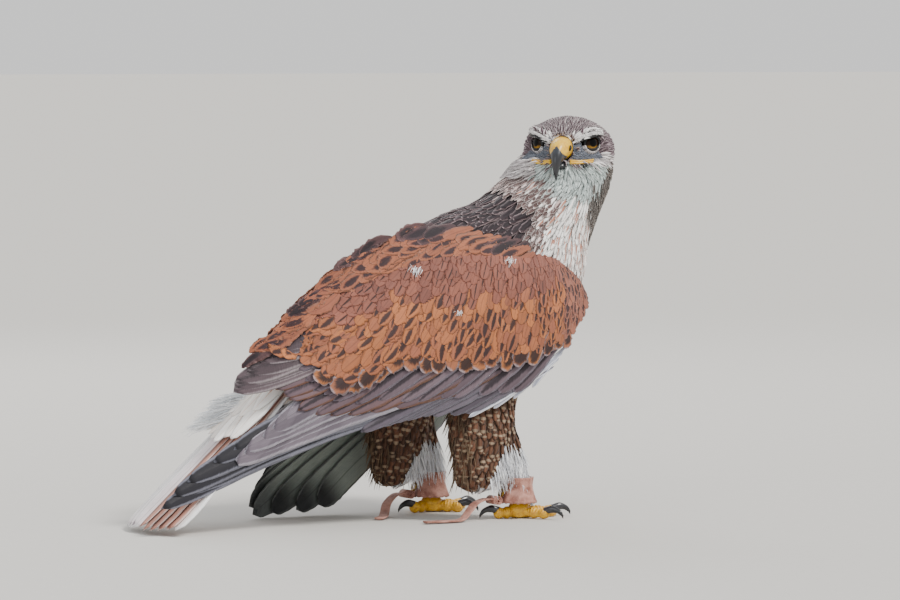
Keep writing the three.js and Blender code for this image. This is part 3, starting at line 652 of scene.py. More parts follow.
def feather_material(name, roughness=0.62, barbs=1.1, under=None):
    """Plumage whose pattern comes from each feather's own attributes.

    barbs is their spacing in millimetres, and under the colour of the lower face where it differs.
    """
    n = Nodes(name, roughness, Specular_IOR_Level=0.28, Sheen_Weight=0.06, Sheen_Roughness=0.5)
    along, across, face = n.split(n.attribute("lay"))
    length, half, seed = n.split(n.attribute("span"))
    ground, mark, rim = (n.attribute(key, "Color") for key in COLOURS)
    edge = n.math("ABSOLUTE", across)
    run = n.times(along, length)
    barb = n.less(run, n.times(edge, half, 0.8))
    fibre = n.join(n.times(barb, 0.9), n.times(across, 1.1), n.times(seed, 40.0))
    grain = n.noise(fibre, 1.0, 4.0, 0.65)
    wobble = n.times(n.less(grain, 0.5), 1.8)
    ratio = n.math("DIVIDE", length, half)
    colour = n.mix(bar_share(n, along, edge, wobble), ground, mark)
    colour = n.mix(blot_share(n, along, across, wobble), colour, mark)
    colour = n.mix(rim_share(n, along, edge, ratio, wobble), colour, rim)
    if under:
        shown = n.times(n.step(face, -0.3, -0.7), n.step(along, 0.93, 0.72), 0.8)
        colour = n.mix(shown, colour, rgba(under))
    shaft = n.times(n.step(edge, 0.07, 0.02), 0.35)
    colour = n.mix(shaft, colour, mark)
    cloud = n.noise(n.place(), 22.0, 2.0)
    strand = n.join(n.times(run, 0.07), n.times(half, across), n.times(seed, 90.0))
    streak = n.noise(strand, 1.3, 3.0, 0.6)
    shade = n.add(n.times(grain, 0.3), n.times(cloud, 0.4), n.times(streak, 0.7), 0.36)
    n.colour(n.shaded(colour, shade))
    ridge = n.math("SINE", n.times(barb, 2 * math.pi / barbs))
    n.bump(n.add(n.times(ridge, 0.5), n.times(grain, 1.6)), 0.35, 0.0004)
    return n.material


def skin_material(name):
    n = Nodes(name, 0.8, Specular_IOR_Level=0.2)
    fleck = n.noise(n.place(), 600.0, 3.0)
    shade = n.add(0.6, n.times(fleck, 0.35))
    n.colour(n.shaded(n.attribute("ground", "Color"), shade))
    n.bump(fleck, 0.5, 0.0008)
    return n.material


def bare_material(name, code, other, roughness, scale, depth, coat=0.0):
    """Bare skin with rows of small scales."""
    n = Nodes(name, roughness, Specular_IOR_Level=0.45, Coat_Weight=coat, Coat_Roughness=0.2)
    cell = n.cells(n.place(), scale)
    cloud = n.noise(n.place(), scale * 0.3, 3.0)
    shade = n.add(n.times(cell, 0.5), n.times(cloud, 0.7))
    n.colour(n.mix(n.step(shade, 0.3, 0.9), rgba(code), rgba(other)))
    n.bump(cell, 0.5, depth)
    return n.material


def horn_material(name, tip, base):
    """Horn that is paler towards its base, by the piece's own attribute."""
    n = Nodes(name, 0.32, Specular_IOR_Level=0.55, Coat_Weight=0.35, Coat_Roughness=0.15)
    along = n.split(n.attribute("lay"))[0]
    cloud = n.noise(n.place(), 260.0, 3.0)
    share = n.add(along, n.times(n.less(cloud, 0.5), 0.3))
    n.colour(n.mix(n.step(share, 0.05, 0.75), rgba(base), rgba(tip)))
    n.bump(cloud, 0.25, 0.0003)
    return n.material


def leather_material(name, code, dark):
    n = Nodes(name, 0.66, Specular_IOR_Level=0.4, Sheen_Weight=0.08)
    grain = n.cells(n.place(), 1500.0)
    cloud = n.noise(n.place(), 140.0, 4.0)
    wear = n.step(n.add(cloud, n.times(grain, 0.15)), 0.35, 0.75)
    n.colour(n.mix(wear, rgba(dark), rgba(code)))
    n.bump(n.add(grain, n.times(cloud, 2.0)), 0.45, 0.0004)
    return n.material


def eye_material(name):
    """Pupil, brown iris and dark edge by the distance from the eye's axis, under a clear wet coat. The iris
    is amber below and dark above, by height: painted light on its lower part and painted shade from the
    brow.
    """
    n = Nodes(name, 0.12, Specular_IOR_Level=0.06, Coat_Weight=0.1, Coat_Roughness=0.02)
    radius, low, _ = n.split(n.attribute("lay"))
    fibres = n.noise(n.place(), 900.0, 2.0)
    # painted light and shade: amber low on the iris, dark brown high up under the brow
    iris = n.mix(n.step(low, 0.2, 0.75), rgba("21150e"), rgba("c8963f"))
    iris = n.mix(n.times(fibres, 0.4), iris, rgba("1d110b"))
    ring = n.mix(n.step(radius, 0.66, 0.74), iris, rgba("0c0908"))
    n.colour(n.mix(n.step(radius, 0.36, 0.32), ring, rgba("040404")))
    return n.material


def metal_material(name, code):
    n = Nodes(name, 0.32, Metallic=1.0)
    cloud = n.noise(n.place(), 800.0, 3.0)
    n.colour(n.mix(cloud, rgba(code), rgba("6d5730")))
    n.bump(cloud, 0.2, 0.0002)
    return n.material


# Skin: one closed surface through all the flesh, which the feathers grow on
VOXEL = 0.002
COAT_DEPTH = 3.0  # how far the skin lies inside the solids


def node_shell(node):
    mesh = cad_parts[node].data
    mesh.calc_loop_triangles()
    return fetch(mesh.vertices, "co", 3), fetch(mesh.loop_triangles, "vertices", 3, np.int32)


PAD_FRONT = 66
PAD_LENGTH = 150
PAD_BACK = -60  # behind this the arm narrows to nothing
PAD_TAPER = 26


def pad_shell(wing):
    """The wing's arm, which lies under its coverts."""
    grid = vane_grid(9, 8)
    x = PAD_FRONT - PAD_LENGTH * np.clip(grid.along, 0, 1)
    low, high, deep = pad_edges(wing, np.maximum(x, PAD_BACK))
    taper = np.where(x < PAD_BACK, 1 + (x - PAD_BACK) / PAD_TAPER, 1)
    z = (low + high) / 2 + (high - low) / 2 * 0.92 * taper * grid.across
    out = grid.face * (deep - 1.5) * np.sqrt(1 - grid.across**2)
    return to_scene(on_sheet(wing, x, z, out)), grid.triangles


def applied(piece):
    """The piece's mesh with its modifiers worked in."""
    piece.data = bpy.data.meshes.new_from_object(
        piece.evaluated_get(bpy.context.evaluated_depsgraph_get())
    )
    piece.modifiers.clear()


FLESH = ("head", "neck", "torso") + tuple(
    f"{part}_{label}" for part in ("trouser", "tarsus") for label, _ in SIDES
)


def skin_piece():
    shells = [node_shell(node) for node in FLESH] + [pad_shell(RIGHT_WING), pad_shell(LEFT_WING)]
    steps = np.cumsum([0] + [len(points) for points, _ in shells[:-1]])
    points = np.concatenate([points for points, _ in shells])
    triangles = np.concatenate([t + step for (_, t), step in zip(shells, steps)])
    piece = bpy.data.objects.new("skin", triangle_mesh("skin", points, triangles))
    bpy.context.scene.collection.objects.link(piece)
    remesh = piece.modifiers.new("voxels", "REMESH")
    remesh.mode = "VOXEL"
    remesh.voxel_size = VOXEL
    smooth = piece.modifiers.new("smooth", "SMOOTH")
    smooth.factor = 0.6
    smooth.iterations = 6
    applied(piece)
    shrink_skin(piece.data)
    smooth = piece.modifiers.new("smooth", "SMOOTH")
    smooth.factor = 0.5
    smooth.iterations = 3
    piece.modifiers.new("triangles", "TRIANGULATE")
    applied(piece)
    unwrap(piece)
    return piece


def shrink_skin(mesh):
    points = fetch(mesh.vertices, "co", 3)
    normals = fetch(mesh.vertex_normals, "vector", 3)
    head = in_head(from_scene(points))
    face = smoothstep(-10, 20, head[:, 0]) * smoothstep(-30, -18, head[:, 2])
    depth = COAT_DEPTH - 1.8 * face
    depth = np.where(from_scene(points)[:, 2] < 45, 1.5, depth)
    mesh.vertices.foreach_set("co", (points - normals * depth[:, None] / 1000).ravel())
    mesh.update()


def unwrap(piece):
    bpy.context.view_layer.objects.active = piece
    piece.select_set(True)
    bpy.ops.object.mode_set(mode="EDIT")
    bpy.ops.mesh.select_all(action="SELECT")
    bpy.ops.uv.smart_project(angle_limit=math.radians(66), island_margin=0.002)
    bpy.ops.object.mode_set(mode="OBJECT")
    piece.data.uv_layers[0].name = "OFBake"


class Skin:
    """The skin's surface in millimetres, for finding places on it."""

    def __init__(self, piece):
        mesh = piece.data
        self.points = from_scene(fetch(mesh.vertices, "co", 3))
        self.triangles = fetch(mesh.polygons, "vertices", 3, np.int32)
        self.places = fetch(mesh.uv_layers["OFBake"].data, "uv", 2).reshape(-1, 3, 2)
        self.vertex_normals = fetch(mesh.vertex_normals, "vector", 3)
        corners = self.points[self.triangles]
        cross = np.cross(corners[:, 1] - corners[:, 0], corners[:, 2] - corners[:, 0])
        self.areas = np.linalg.norm(cross, axis=1) / 2
        self.tree = BVHTree.FromPolygons(self.points.tolist(), self.triangles.tolist())

    def scatter(self, count):
        """Random places all over: points, normals and their places on the unwrap."""
        face = rng.choice(len(self.areas), count, p=self.areas / self.areas.sum())
        a, b = rng.random((2, count))
        over = a + b > 1
        a, b = np.where(over, 1 - a, a), np.where(over, 1 - b, b)
        weights = np.stack([1 - a - b, a, b], -1)[..., None]
        corners = self.triangles[face]
        points = (self.points[corners] * weights).sum(1)
        normals = unit((self.vertex_normals[corners] * weights).sum(1))
        return points, normals, (self.places[face] * weights).sum(1)

    def nearest(self, points):
        found = [self.tree.find_nearest(point) for point in points.tolist()]
        places = np.array([location for location, *_ in found])
        faces = np.array([face for _, _, face, _ in found])
        normals = unit(self.vertex_normals[self.triangles[faces]].mean(1))
        return places, normals, faces

    def patch(self, points):
        """The corner of the map patch for feathers that root near these points."""
        return self.places[self.nearest(points)[2]].mean(1)


def thinned(points, spacing):
    """Picks places that keep their spacing from each other."""
    tree = KDTree(len(points))
    for k, point in enumerate(points.tolist()):
        tree.insert(point, k)
    tree.balance()
    alive = np.ones(len(points), bool)
    for k, point in enumerate(points.tolist()):
        if alive[k]:
            for _, other, _ in tree.find_range(point, spacing[k]):
                alive[other] = other == k
    return alive


# Which look and size the plumage has on each part of the body
class Cover(NamedTuple):
    length: float
    half: float
    spacing: float
    lift: float


COVERS = {
    "crown": Cover(9, 1.5, 1.7, 3.0),
    "brow": Cover(7, 1.1, 1.3, 1.2),
    "lore": Cover(3.4, 0.8, 1.1, 0.5),
    "lore_pale": Cover(4.2, 0.7, 1.1, 0.5),
    "cheek": Cover(9, 1.4, 1.7, 3.6),
    "whisker": Cover(10, 1.2, 1.5, 4.0),
    "collar_in_shade": Cover(12, 1.8, 2.2, 3.0),
    "throat_in_shade": Cover(10, 1.3, 1.8, 1.6),
    "breast": Cover(18, 2.3, 2.5, 2.0),
    "nape": Cover(12, 2.1, 2.3, 2.2),
    "mantle": Cover(25, 4.2, 4.4, 2.8),
    "back": Cover(24, 7.0, 7.0, 3.0),
    "belly": Cover(17, 3.8, 4.0, 2.4),
    "leg": Cover(12, 3.4, 4.2, 1.4),
    "leg_pale": Cover(16, 1.2, 1.7, 2.6),
    "tail_covert": Cover(22, 6.0, 6.0, 3.0),
}
# Azimuths, in degrees round the neck, between which it is white, at each height
WHITE_HEIGHTS = [200, 215, 235, 260, 285, 300]
WHITE_NEAR = [-118, -112, -98, -103, -150, -178]
WHITE_FAR = [100, 66, -30, -46, -60, -76]
NECK_AXIS = [[231, 246, 263, 280, 294], [45, 54, 66, 78, 85]]
BROW_LINE = [[35, 6.5, 5], [29, 13, 8], [23, 22, 11], [14.5, 28.5, 12.8], [6, 31, 12]]
RIDGE_LINE = [[31, 9.5, -0.8], [27.2, 16.3, 3.2], [22.2, 24.3, 6.4], [14.2, 29.2, 8.0], [5, 31, 7.8]]
LIP_LINE = [[33, 8, -13.9], [28, 14, -14.3], [22.5, 20.5, -13.9], [18, 25, -13.2]]
EYE_CLEAR = 6.0  # no feather roots closer to an eye's axis than this


def head_looks(head):
    """The look's number for places in the head's frame."""
    x, y, z = head.T
    fold = np.stack([x, np.abs(y), z], -1)
    look = np.full(len(head), look_index("crown"))

    def paint(name, mask):
        look[mask] = look_index(name)

    from_eye = np.linalg.norm(fold - (EYE_CENTRE + 9 * unit(EYE_AXIS)), axis=1)
    to_brow = gap_to(fold, BROW_LINE)
    blur = rng.standard_normal(len(head))
    paint("cheek", (z + 2 * blur < 6) & (fold[:, 1] > 14))
    paint("nape", (x + 3 * blur < -16) & (z + 2 * blur < 0))
    paint("whisker", (z + 1.5 * blur < -9) & (fold[:, 1] > 12) & (x + 2 * blur > 2))
    paint("brow", (to_brow < 4.3) | ((x > 27) & (fold[:, 1] > 5) & (z > 0) & (z < 9)))
    paint("lore_pale", (x + blur > 14) & (z < 3) & (z + blur > -13.5) & (fold[:, 1] > 8))
    # dark round the eye: the eye-line, and in the band above the eye also painted shadow of the brow
    paint("lore", (from_eye < 10 + 0.5 * blur) & (z < 7) & (z > -1) | (from_eye < 7.5))
    paint("cheek", (y < 0) & (z + 2 * blur < -14) & (x < 12))
    # one side of the neck is darker, partly as painted shade
    paint("collar_in_shade", (y > 14) & (z + 2 * blur < -16) & (x < 16))
    # the throat: white, with painted grey-green shade under the bill
    paint("throat_in_shade", (z + 1.5 * blur < -15.5) & (x > 0) & (y < 18 + x) & (y + 2 * blur > -18))
    return look


def gap_to(points, line):
    """How far each place is from a line through a few points."""
    line = spline(line, np.linspace(0, 1, 24))
    return np.linalg.norm(points[:, None] - line[None], axis=2).min(1)


def bare(points):
    """Where no feathers root: at the eyes and along the corners of the mouth."""
    head = in_head(points)
    fold = head * (1, 0, 1) + np.abs(head) * (0, 1, 0)
    axis = unit(EYE_AXIS)
    offset = fold - EYE_CENTRE
    ahead = offset @ axis
    aside = np.linalg.norm(offset - ahead[:, None] * axis, axis=1)
    return (aside < EYE_CLEAR) & (ahead > 0) | (gap_to(fold, LIP_LINE) < 2.8)


def body_looks(points, normals):
    x, y, z = points.T
    blur = rng.standard_normal(len(points))
    azimuth = np.degrees(np.arctan2(y + 3, x - np.interp(z, *NECK_AXIS)))
    near = np.interp(z, WHITE_HEIGHTS, WHITE_NEAR) + 7 * blur
    far = np.interp(z, WHITE_HEIGHTS, WHITE_FAR) + 11 * blur
    white = (azimuth > near) & (azimuth < far)
    look = np.full(len(points), look_index("mantle"))

    def paint(name, mask):
        look[mask] = look_index(name)

    paint("nape", (z > 222) & (azimuth > near - 32) & (azimuth < near) | (z + 5 * blur > 268))
    paint("nape", (z + 7 * blur > 208) & (azimuth > far) & (azimuth < far + 90))
    # the far side of the neck is darker, partly as painted shade
    paint("collar_in_shade", (z + 5 * blur > 232) & (azimuth > far) & (azimuth < far + 42))
    paint("back", (x < -45) & (normals[:, 2] > -0.2))
    paint("breast", white & (z > 150))
    # the throat: white, with painted grey-green shade under the head
    paint("throat_in_shade", white & (z + 3 * blur > 263) & (azimuth + 6 * blur > -142))
    paint("belly", (z < 150) | (normals[:, 2] < -0.25) & (z < 200))
    paint("tail_covert", (x < -118) & (normals[:, 2] < 0.3))
    wing = (x > -90) & (z > 96) & (z < 212) & (np.abs(y) > 50) & (np.abs(normals[:, 1]) > 0.35)
    paint("lesser", wing & (normals[:, 1] * y > 0))
    paint("belly", wing & (normals[:, 1] * y < 0))
    return look


TUFT_TOP = 62


def past_leg(points):
    """How far places lie ahead of the middle of the leg on their side."""
    return points[:, 0] - np.where(points[:, 1] > 0, LEG_STAGGER, 0)


def tuft_edge(z):
    """How far ahead of the leg's middle the white tuft begins, at each height."""
    return -4 - (61.4 - z) * 0.57


def leg_looks(points):
    z = points[:, 2]
    ahead = past_leg(points) + 1.5 * rng.standard_normal(len(z))
    front = (z < TUFT_TOP) & (ahead > tuft_edge(z)) | (z < 30)
    return np.where(front, look_index("leg_pale"), look_index("leg"))


def leg_part(points):
    z = points[:, 2]
    inside = (np.abs(past_leg(points) + 12) < 44) & (np.abs(np.abs(points[:, 1]) - 36) < 24)
    return (z < 118) & inside | (z < 60)


def skin_looks(points, normals):
    head = in_head(points)
    look = body_looks(points, normals)
    on_skull = head[:, 2] > -26
    look[on_skull] = head_looks(head[on_skull])
    leg = leg_part(points)
    look[leg] = leg_looks(points[leg])
    return look


def lie(points, normals):
    """The way the plumage lies at each place, along the skin."""
    head = in_head(points)
    away = turn_z(unit(head - (31, 0, -7)), HEAD_TURN)
    front = smoothstep(-0.3, 0.5, normals[:, 0])[:, None]
    body = (1 - front) * np.array([-0.8, 0, -0.6]) + front * np.array([-0.2, 0, -1])
    under = smoothstep(0.1, -0.5, normals[:, 2])[:, None] * smoothstep(200, 150, points[:, 2:3])
    body = body * (1 - under) + under * np.array([-0.9, 0, -0.3])
    on_skull = smoothstep(-34, -18, head[:, 2])[:, None]
    way = away * on_skull + unit(body) * (1 - on_skull)
    for side in (RIGHT, LEFT):
        eye = on_head(mirrored(EYE_CENTRE, side) + 8 * eye_axis(side))
        gap = np.linalg.norm(eye - points, axis=1)[:, None]
        towards = unit(eye - points)
        inward = np.maximum((way * towards).sum(1), 0)[:, None]
        way = way - 1.3 * smoothstep(17, 10, gap) * inward * towards
    leg = leg_part(points)
    way[leg] = (-0.16, 0, -1)
    way = way + 0.1 * rng.standard_normal(way.shape)
    way = way - normals * (way * normals).sum(1)[:, None]
    return unit(way)


def lay_on_skin(coat, style, skin, points, normals, look, cover, places):
    """Adds feathers that bend with the skin. cover holds each one's length, half width and lift."""
    length, half, lift = cover
    way = lie(points, normals)
    middle, middle_normal, _ = skin.nearest(points + way * length[:, None] / 2)
    end, end_normal, _ = skin.nearest(points + way * length[:, None])
    root = points - normals * 0.6
    tip = end + end_normal * lift[:, None]
    passing = middle + middle_normal * lift[:, None] * 0.62
    control = 2 * passing - (root + tip) / 2
    grid = style.grid
    s = grid.along[None, :, None]
    wide = half[:, None] * style.outline(grid.along) * ragged(len(points), style)
    side = unit(np.cross(middle_normal, tip - root))
    curve = (
        (1 - s) ** 2 * root[:, None] + 2 * s * (1 - s) * control[:, None] + s**2 * tip[:, None]
    )
    domed = 1 - grid.across**2
    rise = style.camber * half[:, None] * domed + grid.face * style.thick / 2 * domed**0.5
    outward = middle_normal[:, None]
    made = curve + side[:, None] * (grid.across * wide)[..., None] + outward * rise[..., None]
    coat.add(grid, made, look_arrays(look), length, half, places)


def vanes(coat, skin, wing, style, look, **shape):
    """One tier of a wing's feathers."""
    chart = lambda x, z, out: on_sheet(wing, x, z, out)
    places = skin.patch(chart(*shape["roots"].T, shape["out"][:, 0]))
    index = np.full(len(places), look_index(look))
    lay_on_chart(coat, chart, style, look=index, places=places, **shape)


# Flight feathers, from the lowest tier to the highest: look, style and the arguments of tier
RIGHT_FLIGHT = [
    ("primary", BLADE, dict(
        count=10, half=8.5, out=(-1, -1), bow=-10, wander=0.004,
        roots=[[-34, 99], [-44, 128]],
        tips=[[-206, 72], [-264, 54], [-317, 20], [-305, 35], [-273, 56], [-236, 75]],
    )),
    ("secondary", STEPPED, dict(
        count=11, half=9.5, out=(1.5, 1), bow=-4,
        roots=[[-44, 122], [-74, 192]],
        tips=[[-256, 58], [-237, 72], [-214, 87], [-192, 99], [-196, 116]],
    )),
    ("tertial", BLADE, dict(
        count=11, half=7.5, out=(4, 3), bow=2, tilt=0.22,
        roots=[[-64, 186], [-74, 214]],
        tips=[[-243, 108], [-236, 117], [-214, 134], [-182, 156]],
    )),
    ("primary_covert", LARGE, dict(
        count=8, half=8, out=(3.5, 1.6), bow=-3,
        roots=[[22, 124], [12, 146]],
        tips=[[-46, 90], [-95, 88], [-142, 78]],
    )),
    ("edge_covert", LARGE, dict(
        count=4, half=3.2, out=(3.4, 3.0), bow=-2,
        roots=[[51, 142], [37, 125]],
        tips=[[18, 108], [-10, 96], [-44, 86]],
    )),
]
LEFT_FLIGHT = [
    # the far wing's primaries, in a look that carries painted shade
    ("far_primary", BLADE, dict(
        count=10, half=12.5, out=(-1, -1), bow=-5, wander=0.01,
        roots=[[-14, 84], [-30, 122]],
        tips=[[-120, 6], [-158, 4], [-186, 4], [-178, 20], [-160, 40], [-146, 58]],
    )),
    ("secondary", BLADE, dict(
        count=10, half=11, out=(1.5, 1), bow=-4,
        roots=[[-38, 118], [-66, 190]],
        tips=[[-160, 62], [-184, 82], [-194, 104]],
    )),
    ("tertial", BLADE, dict(
        count=5, half=11, out=(4, 3),
        roots=[[-60, 190], [-70, 214]],
        tips=[[-190, 118], [-172, 142]],
    )),
    ("primary_covert", LARGE, dict(
        count=7, half=9, out=(3.5, 1.6), bow=-3,
        roots=[[38, 108], [28, 132]],
        tips=[[-10, 58], [-50, 50], [-88, 46]],
    )),
]
RIGHT_GREATER = [
    ("greater_rust", dict(
        count=13, half=9, out=(4.4, 3.2), bow=-3, tilt=0.16,
        roots=[[0, 130], [-66, 196]],
        tips=[[-80, 104], [-134, 94], [-186, 92], [-212, 106], [-214, 120]],
    )),
    ("greater", dict(
        count=14, half=9, out=(5.3, 4.4), bow=-2, tilt=0.14,
        roots=[[44, 146], [-64, 202]],
        tips=[[-2, 106], [-60, 103], [-122, 100], [-178, 104], [-196, 126]],
    )),
]
LEFT_GREATER = [
    ("greater", dict(
        count=11, half=10.5, out=(4.4, 3.2), bow=-3, tilt=0.16,
        roots=[[12, 112], [-58, 194]],
        tips=[[-50, 66], [-100, 66], [-140, 84], [-168, 112]],
    )),
    ("greater", dict(
        count=12, half=10, out=(5.3, 4.4), bow=-2, tilt=0.14,
        roots=[[52, 124], [-58, 200]],
        tips=[[14, 80], [-34, 76], [-86, 82], [-128, 100], [-156, 126]],
    )),
]
# The rufous coverts: places along the wing, the line that their tips reach down to and the wing's upper edge
RIGHT_ZONE = [
    [77, 69, 55, 46, 16, -9, -53, -85, -112, -142, -174, -192],
    [176, 166, 149, 140, 131, 126, 124, 126, 127, 114, 111, 128],
    [176, 196, 208, 214, 220, 223, 223, 218, 208, 194, 166, 144],
]
LEFT_ZONE = [
    [92, 80, 60, 26, -30, -84, -130, -152],
    [158, 132, 114, 98, 96, 104, 124, 140],
    [166, 190, 206, 218, 224, 213, 181, 158],
]
# The scapulars lie between that edge and this line, and are dark above the second line.
SCAPULAR_ZONE = [
    [24, 0, -30, -60, -90, -120, -150, -180, -200],
    [226, 238, 243, 243, 236, 221, 199, 170, 146],
    [222, 234, 240, 240, 232, 217, 194, 165, 136],
]
# How far the small feathers point back from straight down, in degrees, at each place along the wing
LIE_PLACES = [-176, -119, -42, 45, 75]
LIE_ANGLES = [58, 48, 28, 9, -5]
SCAPULAR_ANGLES = [57, 60, 66, 74, 78]


def wing_flight(skin, wing, tiers):
    coat = Coat()
    for look, style, shape in tiers:
        vanes(coat, skin, wing, style, look, **tier(**shape))
    return coat


def wing_coverts(skin, wing, greater, zone):
    coat = Coat()
    for look, shape in greater:
        vanes(coat, skin, wing, LARGE, look, **tier(**shape))
    rufous_coverts(coat, skin, wing, zone)
    scapulars(coat, skin, wing, zone)
    return coat


def strewn(box, count, spacing_at):
    """Random places in a box of the wing's side view that keep the spacing given for each."""
    low, high = np.array(box, float).T
    flat = low + (high - low) * rng.random((count, 2))
    alive = thinned(np.pad(flat, ((0, 0), (0, 1))), spacing_at(*flat.T))
    return flat[alive]


def edge_gap(x, z, zone):
    """How far places in the wing's side view lie inside its upper and front edge, negative outside it."""
    places, low, high = zone
    outline = [[places[0] + 1, low[0]]] + [[px, pz] for px, pz in zip(places, high)]
    spots = np.stack(np.broadcast_arrays(x, z), -1)
    line = spline(outline, np.linspace(0, 1, 60))
    gap = np.min([np.linalg.norm(spots - point, axis=-1) for point in line], axis=0)
    top = np.interp(x, places[::-1], high[::-1])
    return np.where((z < top) & (x < max(places)), gap, -gap)


def covert_level(wing, x, z, zone):
    """How far the rufous coverts stand out: the wing's arm rounds over at its upper and front edge."""
    gap = edge_gap(x, z, zone)
    inner = np.clip(gap / 24, 0, 1)
    full = np.maximum(pad_level(wing, x, z) + 1, 7.6)
    return 0.6 + (full - 0.6) * np.sqrt(1 - (1 - inner) ** 2) + 1.1 * np.minimum(gap, 0)


def lay_coverts(coat, skin, wing, roots, angle, length, half, look, level):
    """Coverts that drape over the level, each in the direction of its angle back from straight down."""
    chart = lambda x, z, out: on_sheet(wing, x, z, level(x, z) + out)
    way = np.stack([-np.sin(angle), -np.cos(angle)], -1)
    tips = roots + way * length[:, None]
    out = np.tile([-0.2, 0.16], (len(roots), 1)) + 0.06 * rng.standard_normal((len(roots), 1))
    places = skin.patch(chart(*roots.T, out[:, 0]))
    bow = 0.05 * length * rng.standard_normal(len(roots))
    lay_on_chart(coat, chart, MEDIUM, roots, tips, half, out, 0 * bow, bow, look, places)


def ascending(zone):
    """A zone's rows as arrays, from the rear to the front."""
    return [np.array(row, float)[::-1] for row in zone]


def lie_at(x, angles):
    """The angles of feathers at places along the wing, each a little off."""
    return np.radians(np.interp(x, LIE_PLACES, angles) + 4 * rng.standard_normal(len(x)))


def covert_size(zone, x, z):
    """How large the coverts are at places in the wing's side view, from 0 to 1."""
    places, low, high = ascending(zone)
    floor, top = np.interp(x, places, low), np.interp(x, places, high)
    depth = np.clip((top - z) / (top - floor), 0, 1)
    lower = 0.5 * (depth - 0.35) * smoothstep(75, 0, x)
    return np.clip(0.1 + 0.5 * smoothstep(70, -30, x) + lower, 0, 1)


def small_coverts(zone):
    """The small coverts, down to the lowest two rows, in the terms that lay_coverts takes."""
    places, low, high = ascending(zone)
    box = [(places[0], places[-1] + 4), (low.min(), high.max() + 8)]
    roots = strewn(box, 15000, lambda x, z: 3.0 + 3.8 * covert_size(zone, x, z))
    grown = covert_size(zone, *roots.T)
    angle = lie_at(roots[:, 0], LIE_ANGLES)
    length = 13 + 17 * grown
    tips = roots - np.stack([np.sin(angle), np.cos(angle)], -1) * length[:, None]
    floor = np.interp(tips[:, 0], places, low)
    above = tips[:, 1] - floor + 2 * rng.standard_normal(len(floor))
    inside = (tips[:, 1] > floor + 7 * grown) & (edge_gap(*roots.T, zone) > -7)
    look = np.full(len(roots), look_index("lesser"))
    look[above < 50] = look_index("lesser_low")
    look[(roots[:, 0] > places[-1] - 32) & (above < 60)] = look_index("marginal")
    return [values[inside] for values in (roots, angle, length, 3.8 + 3.6 * grown, look)]


def covert_row(zone, row):
    """The lowest row of coverts, or the one above it, in the same terms."""
    places, low, _ = ascending(zone)
    tip_x = np.arange(places[0] + 8 + 6 * row, places[-1] - 22, 13.0)
    tip_x = tip_x + 1.5 * rng.standard_normal(len(tip_x))
    tip = np.stack([tip_x, np.interp(tip_x, places, low) + 10 * row], -1)
    tip[:, 1] += 1.5 * rng.standard_normal(len(tip_x))
    angle = lie_at(tip_x + 12, LIE_ANGLES)
    grown = covert_size(zone, *tip.T)
    length = 13 + 22 * grown
    start = tip + np.stack([np.sin(angle), np.cos(angle)], -1) * length[:, None]
    look = np.full(len(tip_x), look_index(("median", "lesser_low")[row]))
    return start, angle, length, 4.6 + 5.6 * grown, look


def rufous_coverts(coat, skin, wing, zone):
    """From small plain feathers on the shoulder to the median row with dark centres and grey tips."""
    level = lambda x, z: covert_level(wing, x, z, zone)
    small = small_coverts(zone)
    for row in (0, 1):
        lay_coverts(coat, skin, wing, *covert_row(zone, row), level)
    lay_coverts(coat, skin, wing, *small, level)


def scapulars(coat, skin, wing, zone):
    """The feathers between the wing's upper edge and the back, lower at the rear of the far wing."""
    places, top, dark = ascending(SCAPULAR_ZONE)
    wing_places, _, edge = ascending(zone)
    box = [(places[0], places[-1]), (edge.min(), top.max())]
    x, z = strewn(box, 12000, lambda x, z: 5.4 + 0 * x).T
    if wing.side == LEFT:
        top = top - 12 - 20 * smoothstep(-80, -150, places)
    inside = (z < np.interp(x, places, top)) & (z > np.interp(x, wing_places, edge) - 3)
    x, z = x[inside], z[inside]
    angle = lie_at(x, SCAPULAR_ANGLES)
    length = 33 + 3 * rng.standard_normal(len(x))
    shaded = z + 3 * rng.standard_normal(len(x)) > np.interp(x, places, dark)
    look = np.where(shaded, look_index("scapular_dark"), look_index("scapular"))
    half = 5.2 + 0.5 * rng.standard_normal(len(x))
    level = lambda x, z: 0.8 + 5.0 * smoothstep(20, 0, z - np.interp(x, wing_places, edge))
    lay_coverts(coat, skin, wing, np.stack([x, z], -1), angle, length, half, look, level)


TAIL_COVERTS = [
    dict(
        count=7, half=9, out=(-1, 5), tilt=0.1, wander=0.03,
        roots=[[22, -15], [22, 17]], tips=[[126, -28], [134, -4], [110, 28]],
    ),
    dict(
        count=6, half=9, out=(0, 5), tilt=0.1, wander=0.03,
        roots=[[-6, -15], [-6, 17]], tips=[[98, -25], [108, 0], [82, 26]],
    ),
    dict(
        count=6, half=10, out=(-13, -10), tilt=0.1, wander=0.03,
        roots=[[14, -14], [14, 14]], tips=[[78, -22], [96, 0], [78, 22]],
    ),
    dict(
        count=6, half=10, out=(-16, -12), tilt=0.1, wander=0.03,
        roots=[[-20, -14], [-20, 14]], tips=[[50, -20], [66, 0], [50, 20]],
    ),
]
LEG_ROWS = 4.6  # height between the rows of leg feathers
TAIL_FEATHERS = 12


STRANDS_FACE = np.array([0.3, -0.5, 0.8])  # which way the strands' flat sides turn


